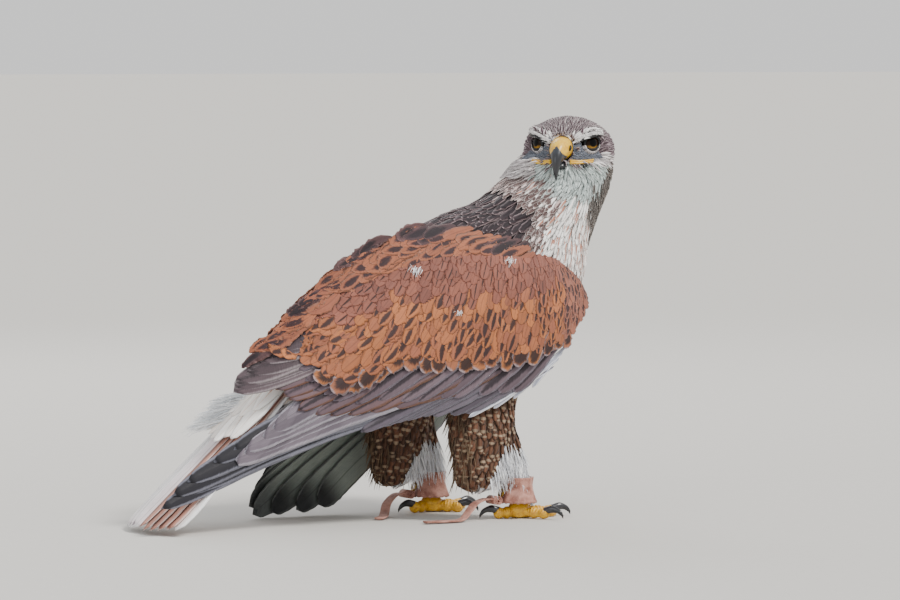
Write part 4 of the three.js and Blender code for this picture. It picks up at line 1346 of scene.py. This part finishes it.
def lay_strands(coat, skin, points, way, length, half, sag, look):
    """Loose strands that leave the skin and hang a little."""
    grid = STRAND.grid
    share = grid.along[None, :, None]
    facing = STRANDS_FACE + 0.5 * rng.standard_normal(way.shape)
    side = unit(np.cross(way, facing))
    run = points[:, None] + way[:, None] * share * length[:, None, None]
    run = run - np.array([0, 0, 1]) * (sag[:, None, None] * share**2)
    wide = half[:, None] * STRAND.outline(grid.along) * grid.across
    lift = np.cross(side, way)[:, None] * (grid.face * STRAND.thick / 2)[None, :, None]
    made = run + side[:, None] * wide[..., None] + lift
    looks = look_arrays(np.full(len(points), look_index(look)))
    coat.add(grid, made, looks, length, half, skin.patch(points))


# Where white down shows through the near wing's coverts, and how large each speck is
WHITE_SPECKS = [[-86, 205, 1.3], [-55, 172, 0.7], [-3, 212, 1.0]]
SPECK_STRANDS = 26
SPECK_LEVEL = 8.2
FLUFF_STRANDS = 620


def tail_fluff(coat, skin):
    """White down that stands out over the tail's root."""
    count = FLUFF_STRANDS
    along, across = rng.uniform(74, 110, count), rng.uniform(2, 32, count)
    start = on_tail(along, across, 3 + 0 * along)
    end = on_tail(along + 16, across + rng.uniform(6, 20, count), rng.uniform(6, 15, count))
    size, half, sag = rng.uniform(18, 30, count), rng.uniform(0.6, 1.3, count), rng.uniform(-2, 3, count)
    lay_strands(coat, skin, start, unit(end - start), size, half, sag, "fluff")


def leg_strands(coat, skin):
    """White tufts over the cuffs, and the ragged rear edges of the trousers."""
    points, normals, _ = skin.scatter(60000)
    z = points[:, 2]
    leg = leg_part(points) & (z > 34)
    tuft = leg & (z < TUFT_TOP) & (past_leg(points) > tuft_edge(z))
    edge = leg & (z < 105) & (normals[:, 0] < -0.5)
    for mask, look, keep, reach in ((tuft, "tuft", 900, 15), (edge, "leg_edge", 260, 13)):
        chosen = rng.permutation(np.flatnonzero(mask))[:keep]
        way = unit(normals[chosen] * 0.34 + (0, 0, -1) + 0.12 * rng.standard_normal((len(chosen), 3)))
        size = reach * rng.uniform(0.7, 1.1, len(chosen))
        start = points[chosen] + normals[chosen]
        lay_strands(coat, skin, start, way, size, 0.05 * size, 0.1 * size, look)


def white_specks(coat, skin):
    """Small spots of white down on the near wing."""
    for x, z, large in WHITE_SPECKS:
        ahead, up = rng.normal(0, 1.9, SPECK_STRANDS), rng.normal(0, 1.1, SPECK_STRANDS)
        spot = on_sheet(RIGHT_WING, x + large * ahead, z + large * up, SPECK_LEVEL)
        way = unit(np.array([-0.5, -0.3, -0.8]) + 0.34 * rng.standard_normal(spot.shape))
        size = large * rng.uniform(3, 6, len(spot))
        lay_strands(coat, skin, spot, way, size, 0.07 * size, 0 * size, "fluff")


def strand_coat(skin):
    coat = Coat()
    for lay in (tail_fluff, leg_strands, white_specks):
        lay(coat, skin)
    return coat


def bristle_coat(skin):
    """Fine dark bristles round the base of the bill, and small feathers along the shelf over each eye."""
    coat = Coat()
    for side in (RIGHT, LEFT):
        for look, level, size in (("brow", 1.2, 6.0), ("brow", 2.8, 7.0)):
            share = rng.uniform(0, 0.85, 110)
            line = spline(mirrored(RIDGE_LINE, side), share)
            ahead = spline(mirrored(RIDGE_LINE, side), share + 0.1) - line
            line = line + (0, 0, level) + rng.normal(0, 0.6, line.shape)
            way = turn_z(unit(ahead) + (0, 0, -0.12), HEAD_TURN)
            length = size * rng.uniform(0.7, 1.1, len(share))
            lay_strands(coat, skin, on_head(line), unit(way), length, 0.8 + 0 * length, 0.1 * length, look)
        under_eye(coat, skin, side)
        share = rng.random(70)
        line = spline(mirrored(LIP_LINE, side), share * 0.5) + (0, 0, -3.4)
        start, normals, _ = skin.nearest(on_head(line + rng.normal(0, 1.0, line.shape)))
        way = turn_z(unit(np.array([0.25, 0.5 * side, -0.75])), HEAD_TURN)
        way = unit(way + 0.5 * normals + 0.25 * rng.standard_normal(start.shape))
        size = rng.uniform(5, 9, len(start))
        lay_strands(coat, skin, start, way, size, 0.3 + 0 * size, 0.1 * size, "bristle")
    return coat


def under_eye(coat, skin, side):
    """Short pale feathers that close in on the eye from below."""
    axis = eye_axis(side)
    across = unit(np.cross([0, 0, 1], axis)) * side
    up = np.cross(axis, across) * side
    around = np.radians(rng.uniform(195, 350, 90))[:, None]
    spoke = np.cos(around) * across + np.sin(around) * up
    start = mirrored(EYE_CENTRE, side) + LID_OUTER * (0.62 * spoke + 0.78 * axis)
    way = turn_z(unit(0.7 * spoke - 0.62 * axis + (0, 0, 0.1)), HEAD_TURN)
    length = rng.uniform(3, 5.5, len(start))
    lay_strands(coat, skin, on_head(start), way, length, 0.7 + 0 * length, 0 * length, "whisker")


def tail_coat(skin):
    coat = Coat()
    place = (2 * np.arange(TAIL_FEATHERS) + 1) / TAIL_FEATHERS - 1
    angle = TAIL_SPREAD * place
    reach = TAIL_LENGTH - 10 * place**2 + 1.2 * rng.standard_normal(TAIL_FEATHERS)
    tips = np.stack([reach * np.cos(angle), reach * np.sin(angle)], -1)
    roots = np.stack([0 * place + 12, 13 * place], -1)
    level = -3 * np.abs(place)
    look = np.where(np.abs(place) > 0.75, look_index("tail_outer"), look_index("tail"))
    look = np.where((place < 0) & (place > -0.8), look_index("tail_rust"), look)
    places = skin.patch(on_tail(*roots.T, 0 * place))
    out = np.stack([level - 6, level - 2], -1)
    tilt = SHINGLE * np.sign(place)
    half = np.full(TAIL_FEATHERS, 11.5)
    lay_on_chart(coat, on_tail, BLADE, roots, tips, half, out, tilt, 0 * place, look, places)
    for shape in TAIL_COVERTS:
        rows = tier(**shape)
        places = skin.patch(on_tail(*rows["roots"].T, rows["out"][:, 0]))
        look = np.full(shape["count"], look_index("tail_covert"))
        lay_on_chart(coat, on_tail, LARGE, look=look, places=places, **rows)
    return coat


# Bare parts and leather, as lofts through oval sections
def loft(rows, start, end, sides, steps):
    """rows hold a centre and two half axes. Returns points, triangles, and how far along each point is."""
    rows = np.array(rows, float)
    share = np.linspace(0, 1, steps + 1)
    centre, first, second = (spline(rows[:, k], share) for k in range(3))
    angle = np.linspace(0, 2 * math.pi, sides, endpoint=False)
    rings = (
        centre[:, None]
        + first[:, None] * np.cos(angle)[None, :, None]
        + second[:, None] * np.sin(angle)[None, :, None]
    )
    points = np.concatenate([[start], rings.reshape(-1, 3), [end]])
    along = np.concatenate([[0], np.repeat(share, sides), [1]])
    return points, tube_triangles(steps + 1, sides), along


def shaped(name, parts, material, slot, *nodes):
    """A piece from one or more lofts, with how far along each point is kept for its material."""
    steps = np.cumsum([0] + [len(points) for points, *_ in parts[:-1]])
    points = np.concatenate([part[0] for part in parts])
    triangles = np.concatenate([part[1] + step for part, step in zip(parts, steps)])
    mesh = triangle_mesh(name, to_scene(points), triangles)
    lay = np.concatenate([np.reshape(part[2], (len(part[0]), -1)) for part in parts])
    lay = np.pad(lay, ((0, 0), (0, 3 - lay.shape[1])))
    store(mesh, "lay", lay)
    bm_normals(mesh)
    return add_piece(mesh, material, slot, *nodes)


def bm_normals(mesh):
    """Turns the mesh's faces outwards."""
    work = bmesh.new()
    work.from_mesh(mesh)
    bmesh.ops.recalc_face_normals(work, faces=work.faces)
    work.to_mesh(mesh)
    work.free()


BILL_ROWS = [
    [27, -3.5, 9.6, 9.4, 0],
    [36, -4.2, 9.4, 8.7, 8],
    [43.5, -7.5, 8.0, 6.6, 30],
    [48.8, -14.5, 5.6, 4.3, 58],
    [50.8, -23, 3.0, 2.2, 78],
]
BILL_END = (50.6, -1.7, -31.5)
BILL_TURN = 0.07  # how far the bill leans to its right, per millimetre forward
NOSTRIL = [[37.6, 8.4, -1.2], [38.6, 8.5, -3.2], [39.6, 8.1, -5.4]]


def bill_loft():
    rows = []
    for x, z, high, half, pitch in BILL_ROWS:
        lean = math.radians(pitch)
        centre = [x, -BILL_TURN * (x - 27), z]
        rows.append([centre, [math.sin(lean) * high, 0, math.cos(lean) * high], [0, half, 0]])
    return loft(rows, (25, 0, -3.5), BILL_END, 48, 72)


def bill_pieces(horn, skin, dark):
    """The hooked bill, whose horn meets the yellow cere along a V that points up."""
    points, triangles, along = bill_loft()
    x, y, z = points.T
    aside = np.abs(y + BILL_TURN * (x - 27))
    front = (aside < 0.75 * (-0.4 - z)) & (x > 37.5)
    keep = front[triangles].all(1)
    swell = 0.03 * smoothstep(-1, 2, aside - 0.75 * (-0.4 - z))
    thick = points + np.stack([0 * x, y * swell, 3 * swell], -1)
    shaped("bill_tip", [(on_head(points), triangles[keep], along)], horn, "horn", "bill_upper")
    shaped("bill_cere", [(on_head(thick), triangles[~keep], along)], skin, "yellow_skin", "cere")
    rows = [
        [[24, 0, -15.5], [0, 0, 5], [0, 8, 0]],
        [[34, 0, -16.5], [0, 0, 4], [0, 6.2, 0]],
        [[42, 0, -18.5], [0, 0, 2.4], [0, 3.4, 0]],
    ]
    points, triangles, along = loft(rows, (22, 0, -15.5), (44.6, 0, -19), 24, 12)
    shaped("bill_under", [(on_head(points), triangles, along)], horn, "horn", "bill_lower")
    slits = [head_bar(mirrored(NOSTRIL, side), [0.7, 1.0, 0.6]) for _, side in SIDES]
    shaped("nostrils", slits, dark, "horn")


def head_bar(points, radii, sides=12, steps=16):
    points = np.array(points, float)
    rows = []
    for k, point in enumerate(points):
        ahead = unit(points[min(k + 1, len(points) - 1)] - points[max(k - 1, 0)])
        across = unit(np.cross([0, 0, 1], ahead))
        rows.append([point, across * radii[k], np.cross(ahead, across) * radii[k]])
    start = points[0] + unit(points[0] - points[1]) * radii[0] * 0.7
    end = points[-1] + unit(points[-1] - points[-2]) * radii[-1] * 0.7
    made, triangles, along = loft(rows, start, end, sides, steps)
    return on_head(made), triangles, along


def lip(side, lower):
    """One edge of the mouth's corner, just proud of the skin."""
    line = spline(LIP_LINE, np.linspace(0, 1, 7)) * (1, side, 1) - (0, 0, 1.5 * lower)
    inwards = Vector(turn_z(np.array([-1.0, 0.0, 0.0]), HEAD_TURN))
    places = []
    for point in line:
        hit = skin.tree.ray_cast(Vector(on_head(point * (0, 1, 1) + (60.0, 0, 0))), inwards)[0]
        places.append(in_head(np.array(hit)) + (1.6, 0, 0))
    return head_bar(places, np.linspace(1.2, 0.8, 7))


def ridge(side):
    """The bony shelf over the eye, whose dark skin also gives painted shade: the dark line under the brow.
    """
    return head_bar(mirrored(RIDGE_LINE, side), [0.8, 1.2, 1.4, 1.2, 0.7])


def eye_piece(label, side, material):
    """An eyeball whose points carry their distance from the axis and their height."""
    axis = eye_axis(side)
    across = unit(np.cross([0, 0, 1], axis))
    up = np.cross(axis, across)
    rings = 40
    sides = 48
    bend = np.linspace(0, math.pi, rings + 2)[1:-1]
    angle = np.linspace(0, 2 * math.pi, sides, endpoint=False)
    ring = np.stack([np.sin(bend)[:, None] * np.cos(angle), np.sin(bend)[:, None] * np.sin(angle)], -1)
    flat = np.concatenate([[[0, 0]], ring.reshape(-1, 2), [[0, 0]]])
    ahead = np.concatenate([[1], np.repeat(np.cos(bend), sides), [-1]])
    bulge = 1 + 0.05 * smoothstep(0.7, 1.0, ahead)
    local = flat[:, :1] * across + flat[:, 1:] * up + (ahead * bulge)[:, None] * axis
    points = mirrored(EYE_CENTRE, side) + EYE_RADIUS * local
    triangles = tube_triangles(rings, sides)[:, [0, 2, 1]]
    radius = np.linalg.norm(flat, axis=1) + np.where(ahead < 0, 2, 0)
    lay = np.stack([radius, -flat[:, 1] * 1.6, 0 * radius], -1)
    part = (on_head(points), triangles, lay)
    shaped(f"eyeball_{label}", [part], material, "eye", f"eye_{label}")


LID_INNER = 10.7
LID_OUTER = 11.5
LID_SPAN = (0.62, 0.44, 0.42)  # the opening's half width, and how far it reaches up and down, as shares
LID_TILT = math.radians(12)
LID_EDGE = 0.7


def lid_part(side):
    """The lids: a band of the eye's own sphere round an almond-shaped opening."""
    axis = eye_axis(side)
    across = unit(np.cross([0, 0, 1], axis)) * side
    up = np.cross(axis, across) * side
    turns, steps = 72, 7
    around = np.linspace(0, 2 * math.pi, turns, endpoint=False)
    wide, high, deep = LID_SPAN
    c, s = np.cos(around), np.sin(around)
    tall = np.where(s > 0, high, deep)
    opening = 1 / np.sqrt((c / wide) ** 2 + (s / tall) ** 2)
    lean = around + LID_TILT
    spoke = np.cos(lean)[:, None] * across + np.sin(lean)[:, None] * up
    share = np.linspace(0, 1, steps)
    reach = opening[:, None] + (LID_EDGE - opening[:, None]) * share
    sine = np.concatenate([reach, reach[:, ::-1]], 1)
    radius = np.concatenate([np.full(steps, LID_OUTER), np.full(steps, LID_INNER)])
    ahead = np.sqrt(1 - sine**2)
    shell = spoke[:, None] * sine[..., None] + axis * ahead[..., None]
    points = mirrored(EYE_CENTRE, side) + shell * radius[None, :, None]
    sides = 2 * steps
    lay = np.tile(np.concatenate([share, share[::-1]]), turns)
    return on_head(points.reshape(-1, 3)), ring_triangles(turns, sides), lay


def ring_triangles(turns, sides):
    """Triangles of a closed ring of closed sections."""
    a, k = np.meshgrid(np.arange(turns), np.arange(sides), indexing="ij")
    b, after = (a + 1) % turns, (k + 1) % sides
    p, q, r, s = (a * sides + k, a * sides + after, b * sides + after, b * sides + k)
    return np.concatenate([np.stack([p, q, r], -1), np.stack([p, r, s], -1)]).reshape(-1, 3)


# Feet
TOES = {
    "middle": (-6, 33, 6),
    "inner": (42, 26, 5.8),
    "outer": (-58, 27, 5.2),
    "hind": (172, 21, 5.8),
}
TOE_LEVEL = 4.4
# The toes' thick and thin places: how far along, how far above the level, and the radius as a share
TOE_KNUCKLES = [
    [0.2, 1.4, 0.95], [0.36, 0.8, 0.72], [0.52, 0.5, 0.88],
    [0.68, 0.4, 0.68], [0.85, 0.3, 0.84], [1, 0, 0.6],
]
PALM_ROWS = [[1.2, 7], [7.5, 9.4], [13.5, 6.5]]  # height and radius
CLAW_REACH = 14


def foot_at(side):
    return np.array([15 + (LEG_STAGGER if side == LEFT else 0), 42.0 * side, 0])


def toe_axes(side, angle):
    turn = math.radians(angle) * -side
    ahead = np.array([math.cos(turn), math.sin(turn), 0])
    return ahead, np.array([-ahead[1], ahead[0], 0])


def toe_part(side, angle, length, radius):
    """A toe with a row of broad scutes along its top."""
    foot = foot_at(side)
    ahead, across = toe_axes(side, angle)

    def row(along, z, wide):
        return [foot + ahead * along + (0, 0, z), across * wide, [0, 0, wide]]

    rows = [row(0, 8.0, radius)]
    for share, lift, wide in TOE_KNUCKLES:
        rows.append(row(length * share, TOE_LEVEL + lift, radius * wide))
    start = foot - ahead * 3 + (0, 0, 8.5)
    end = foot + ahead * (length + 2) + (0, 0, TOE_LEVEL)
    points, triangles, along = loft(rows, start, end, 20, 72)
    axis = foot + ahead * (along * length)[:, None] + (0, 0, TOE_LEVEL)
    off = points - axis
    top = smoothstep(0, 3, off[:, 2])
    wave = np.abs(np.sin(along * math.pi * 10)) ** 0.6
    points = points + unit(off + 1e-6) * (top * (wave - 0.8) * 0.9)[:, None]
    points[:, 2] = np.maximum(points[:, 2], 0)
    return points, triangles, along


def claw_part(side, angle, length):
    foot = foot_at(side)
    ahead, across = toe_axes(side, angle)

    def row(along, z, radius, pitch):
        lean = math.radians(pitch)
        up = ahead * math.sin(lean) * radius + (0, 0, math.cos(lean) * radius)
        return [foot + ahead * (length + along * CLAW_REACH) + (0, 0, z), across * radius * 0.8, up]

    rows = [
        row(-0.25, 6.6, 3.4, 0), row(0.25, 8.4, 3.2, 10),
        row(0.7, 6.9, 2.2, 45), row(0.95, 3.6, 1.1, 70),
    ]
    start = foot + ahead * (length - 0.35 * CLAW_REACH) + (0, 0, 6)
    end = foot + ahead * (length + CLAW_REACH) + (0, 0, 0.9)
    return loft(rows, start, end, 16, 20)


def foot_pieces(label, side, skin, horn):
    foot = foot_at(side)
    rows = [[foot + (0, 0, z), [wide, 0, 0], [0, wide, 0]] for z, wide in PALM_ROWS]
    palm = loft(rows, foot + (0, 0, 0.6), foot + (0, 0, 14.5), 24, 10)
    toes = [toe_part(side, *toe) for toe in TOES.values()]
    shaped(f"toes_{label}", [palm, *toes], skin, "yellow_skin", f"foot_{label}")
    for name, (angle, length, _) in TOES.items():
        node = f"claw_{name}_{label}"
        shaped(f"talon_{name}_{label}", [claw_part(side, angle, length)], horn, "horn", node)


# Leather
CUFF_BACK = 1
CUFF_PROFILE = [[11.2, 34], [12.8, 34], [12.4, 25], [16.6, 12.8], [15.2, 12.4], [10.6, 25]]


def anklet_part(side):
    """A cuff whose lower edge is cut in scallops."""
    foot = foot_at(side) - (CUFF_BACK, 0, 0)
    turns = 96
    around = np.linspace(0, 2 * math.pi, turns, endpoint=False)
    outer = spline([[r, z] for r, z in CUFF_PROFILE[1:4]], np.linspace(0, 1, 14))
    inner = spline([[r, z] for r, z in [*CUFF_PROFILE[4:], CUFF_PROFILE[0]]], np.linspace(0, 1, 14))
    section = np.concatenate([outer, inner])
    low = smoothstep(17, 12.6, section[:, 1])
    scallop = np.abs(np.sin(around * 9)) ** 0.7
    crease = 0.55 * np.sin(7 * around[:, None] + 0.12 * section[None, :, 1])
    radius = section[None, :, 0] + 0.6 * np.sin(3 * around[:, None] + 1) * low + crease
    height = section[None, :, 1] + 0.9 * scallop[:, None] * low
    x = radius * np.cos(around[:, None])
    y = radius * np.sin(around[:, None])
    points = foot + np.stack([x, y, height], -1)
    sides = len(section)
    lay = np.tile(np.linspace(0, 1, sides), turns)
    return points.reshape(-1, 3), ring_triangles(turns, sides), lay


GROMMET = dict(radius=3.2, tube=0.9, back=16, level=21.5, tilt=18)


def grommet_part(side):
    turns, sides = 40, 12
    around = np.linspace(0, 2 * math.pi, turns, endpoint=False)
    angle = np.linspace(0, 2 * math.pi, sides, endpoint=False)
    reach = GROMMET["radius"] + GROMMET["tube"] * np.cos(angle)[None]
    y = reach * np.cos(around)[:, None]
    z = reach * np.sin(around)[:, None]
    x = GROMMET["tube"] * np.sin(angle)[None] + 0 * z
    lean = math.radians(GROMMET["tilt"])
    x, z = x * math.cos(lean) + z * math.sin(lean), z * math.cos(lean) - x * math.sin(lean)
    back = CUFF_BACK + GROMMET["back"]
    points = foot_at(side) + np.stack([x - back, y, z + GROMMET["level"]], -1)
    return points.reshape(-1, 3), ring_triangles(turns, sides), np.zeros(turns * sides)


JESS_ROUTES = {
    RIGHT: [
        [-24, 0, 16], [-34, -2, 17], [-44, -4, 14], [-52, -7, 8], [-60, -9, 2], [-76, -10, 1.6],
        [-94, -8, 1.6],
    ],
    LEFT: [[-24, 0, 16], [-36, -3, 16], [-48, -10, 10], [-56, -20, 4], [-64, -32, 1.6], [-76, -46, 1.6]],
}
BUTTON = dict(radius=4.4, half=7, back=23.4, level=15.6, core=1.2, thick=0.62)
STRAP_STEPS = 60


def strap_part(side):
    """A flat strap that curls a little at its edges."""
    foot = foot_at(side)
    share = np.linspace(0, 1, STRAP_STEPS)
    route = np.array(JESS_ROUTES[side], float) + foot
    path = spline(route, share)
    ahead = unit(np.gradient(path, axis=0))
    across = unit(np.cross([0, 0, 1], ahead))
    up = np.cross(ahead, across)
    sides = 16
    angle = np.linspace(0, 2 * math.pi, sides, endpoint=False)
    wide = 4.0 * np.sign(np.cos(angle)) * np.abs(np.cos(angle)) ** 0.4
    lift = 0.85 * np.sign(np.sin(angle)) * np.abs(np.sin(angle)) ** 0.6 + 0.02 * wide**2
    points = path[:, None] + across[:, None] * wide[None, :, None] + up[:, None] * lift[None, :, None]
    points[..., 2] = np.maximum(points[..., 2], 0.1)
    flat = np.concatenate([[path[0]], points.reshape(-1, 3), [path[-1]]])
    return flat, tube_triangles(STRAP_STEPS, sides), np.zeros(len(flat))


def button_part(side):
    """The strap's end, rolled up into a button across the ring."""
    centre = foot_at(side) + (-BUTTON["back"], 0, BUTTON["level"])
    half, core = BUTTON["half"], BUTTON["core"]
    turn = np.linspace(0, 2.6 * 2 * math.pi, 90)
    outer = core + (BUTTON["radius"] - core) * turn / turn[-1]
    x, z = outer * np.cos(turn), outer * np.sin(turn)
    inner = 1 - BUTTON["thick"] / outer
    corners = []
    for y, share in ((-half, 1), (half, 1), (half, inner), (-half, inner)):
        corners.append(np.stack([x * share, 0 * x + y, z * share], -1))
    points = (np.stack(corners, 1) + centre).reshape(-1, 3)
    end = np.array([[0, 1, 2], [0, 2, 3]])
    last = 4 * (len(turn) - 1)
    triangles = np.concatenate([end, band_triangles(len(turn), 4, 0), last + end[:, [0, 2, 1]]])
    return points, triangles, np.zeros(len(points))


# The pieces
skin_object = skin_piece()
skin = Skin(skin_object)
feathers = feather_material("feathers")
fine_feathers = feather_material("fine_feathers", 0.68, barbs=0.7)
# the flight feathers' lower faces: a pale underside, darkened to grey-green as painted shade
flight = feather_material("flight_feathers", 0.5, barbs=1.3, under="8b948d")
tail_vanes = feather_material("tail_vanes", 0.55, barbs=1.3)


def dress_skin():
    mesh = skin_object.data
    normals = skin.vertex_normals
    looks = look_arrays(skin_looks(skin.points, normals))
    colours = looks["ground"] * 0.6 + looks["mark"] * 0.4
    store(mesh, "ground", opaque(colours))
    mesh.materials.append(skin_material("skin"))
    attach(skin_object, "root")
    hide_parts(*FLESH)


def rooted():
    """Where the feathers of head, body and legs root, with their looks and sizes."""
    points, normals, places = skin.scatter(260000)
    look = skin_looks(points, normals)
    covers = np.array([COVERS.get(name, (0, 0, 9, 0)) for name in LOOK_NAMES])
    length, half, spacing, lift = covers[look].T
    hidden = (points[:, 2] < 30) & leg_part(points)
    off_row = np.abs(np.mod(points[:, 2], LEG_ROWS) - LEG_ROWS / 2) > 0.9
    kept = ~hidden & ~((look == look_index("leg")) & off_row)
    rows = [values[kept] for values in (points, normals, places, look, length, half, lift)]
    alive = thinned(rows[0], spacing[kept]) & (rows[4] > 0) & ~bare(rows[0])
    return [values[alive] for values in rows]


def body_coats():
    """Feathers all over the skin, but for what the wings and the worn leather hide."""
    points, normals, places, look, length, half, lift = rooted()
    length = length * (1 + 0.12 * rng.standard_normal(len(length)))
    head = in_head(points)[:, 2] > -30
    leg = leg_part(points) & ~head
    groups = (
        ("head_coat", head, FINE, fine_feathers, "head_feathers"),
        ("leg_coat", leg, SMALL, fine_feathers, "leg_feathers"),
        ("body_coat", ~head & ~leg, SMALL, feathers, "body_feathers"),
    )
    for name, mask, style, material, slot in groups:
        coat = Coat()
        cover = (length[mask], half[mask], lift[mask])
        lay_on_skin(coat, style, skin, points[mask], normals[mask], look[mask], cover, places[mask])
        add_piece(coat.mesh(name), material, slot)


dress_skin()
body_coats()
for label, wing, quills, greater, zone in (
    ("right", RIGHT_WING, RIGHT_FLIGHT, RIGHT_GREATER, RIGHT_ZONE),
    ("left", LEFT_WING, LEFT_FLIGHT, LEFT_GREATER, LEFT_ZONE),
):
    mesh = wing_flight(skin, wing, quills).mesh(f"quills_{label}")
    add_piece(mesh, flight, "wing_feathers", f"wing_{label}")
    mesh = wing_coverts(skin, wing, greater, zone).mesh(f"coverts_{label}")
    add_piece(mesh, feathers, "wing_feathers", f"wing_{label}")
add_piece(tail_coat(skin).mesh("tail_fan"), tail_vanes, "tail_feathers", "tail")
add_piece(strand_coat(skin).mesh("loose_strands"), fine_feathers, "body_feathers")
add_piece(bristle_coat(skin).mesh("bristles"), fine_feathers, "head_feathers")

horn = horn_material("horn", "16181f", "5f7186")
claw_horn = horn_material("claw_horn", "131316", "2c2c33")
yellow = bare_material("yellow_skin", "e9b928", "c98c1c", 0.45, 900.0, 0.0004, 0.2)
cere_skin = bare_material("cere_skin", "efc431", "d9a02a", 0.4, 500.0, 0.0002, 0.3)
lid_skin = bare_material("lid_skin", "1d1e21", "0e0f11", 0.6, 1200.0, 0.0002)
leather = leather_material("leather", "c18f80", "8a5749")
eye_glass = eye_material("eye")
brass = metal_material("brass", "b8963e")

bill_pieces(horn, cere_skin, lid_skin)
for label, side in SIDES:
    eye_piece(label, side, eye_glass)
    # lids and the shelf over each eye in dark skin; on the shelf the dark is also painted shade under the
    # brow
    shaped(f"lids_{label}", [lid_part(side), ridge(side)], lid_skin, "head_feathers")
    shaped(f"gape_{label}", [lip(side, 0), lip(side, 1)], cere_skin, "yellow_skin")
    foot_pieces(label, side, yellow, claw_horn)
    shaped(f"cuff_{label}", [anklet_part(side)], leather, "leather", f"anklet_{label}")
    shaped(f"eyelet_{label}", [grommet_part(side)], brass, "brass", f"grommet_{label}")
    parts = [strap_part(side), button_part(side)]
    shaped(f"strap_{label}", parts, leather, "leather", f"jess_{label}")


# Floor, light and camera
VIEW_TURN = math.radians(30)
VIEW_DROP = math.radians(3)
DISTANCE = 4.0
MILLIMETRES_PER_PIXEL = 0.83
PICTURE_WIDTH = 900
PICTURE_MIDDLE = (450, 300)
FEET_PLACE = (477.5, 515)  # where the picture shows the spot between the feet, in pixels
SENSOR = 36
FLOOR_REACH = 60


def add_floor():
    corners = np.array([(-1, -1, 0), (1, -1, 0), (1, 1, 0), (-1, 1, 0)], float) * FLOOR_REACH
    mesh = triangle_mesh("floor", corners, np.array([[0, 1, 2], [0, 2, 3]]))
    floor = bpy.data.objects.new("floor", mesh)
    bpy.context.scene.collection.objects.link(floor)
    n = Nodes("floor", 0.9)
    grain = n.noise(n.place(), 90.0, 3.0)
    n.colour(n.mix(grain, rgba("cccac6"), rgba("c7c5c1")))
    mesh.materials.append(n.material)


def add_lamp(name, kind, direction, distance, power, colour, **settings):
    data = bpy.data.lights.new(name, kind)
    data.energy = power
    data.color = colour
    for key, value in settings.items():
        setattr(data, key, value)
    lamp = bpy.data.objects.new(name, data)
    bpy.context.scene.collection.objects.link(lamp)
    way = unit(np.array(direction, float))
    lamp.location = way * distance + (0, 0, 0.15)
    lamp.rotation_euler = Vector(way).to_track_quat("Z", "Y").to_euler()


def add_camera():
    forward = np.array([math.sin(VIEW_TURN), math.cos(VIEW_TURN), 0]) * math.cos(VIEW_DROP)
    forward[2] = -math.sin(VIEW_DROP)
    right = np.array([math.cos(VIEW_TURN), -math.sin(VIEW_TURN), 0])
    target = right * (PICTURE_MIDDLE[0] - FEET_PLACE[0]) * MILLIMETRES_PER_PIXEL
    target[2] = (FEET_PLACE[1] - PICTURE_MIDDLE[1]) * MILLIMETRES_PER_PIXEL / math.cos(VIEW_DROP)
    data = bpy.data.cameras.new("camera")
    data.sensor_width = SENSOR
    data.lens = SENSOR * DISTANCE / (PICTURE_WIDTH / 1000 * MILLIMETRES_PER_PIXEL)
    camera = bpy.data.objects.new("camera", data)
    bpy.context.scene.collection.objects.link(camera)
    camera.location = to_scene(target) - forward * DISTANCE
    camera.rotation_euler = Vector(-forward).to_track_quat("Z", "Y").to_euler()
    bpy.context.scene.camera = camera


def add_world():
    world = bpy.data.worlds.new("world")
    bpy.context.scene.world = world
    world.use_nodes = True
    background = world.node_tree.nodes["Background"]
    background.inputs[0].default_value = (0.99, 0.99, 0.985, 1.0)
    background.inputs[1].default_value = 0.95


add_floor()
add_lamp("key", "SUN", (0.6, -0.8, 1.15), 2.2, 3.4, (1.0, 0.97, 0.92), angle=math.radians(14))
add_lamp("fill", "AREA", (-1.2, -0.6, 0.5), 2.6, 12, (0.92, 0.96, 1.0), shape="DISK", size=1.8)
add_lamp("back", "AREA", (0.3, 1.0, 0.7), 2.4, 12, (1.0, 1.0, 1.0), shape="DISK", size=1.2)
add_camera()
add_world()
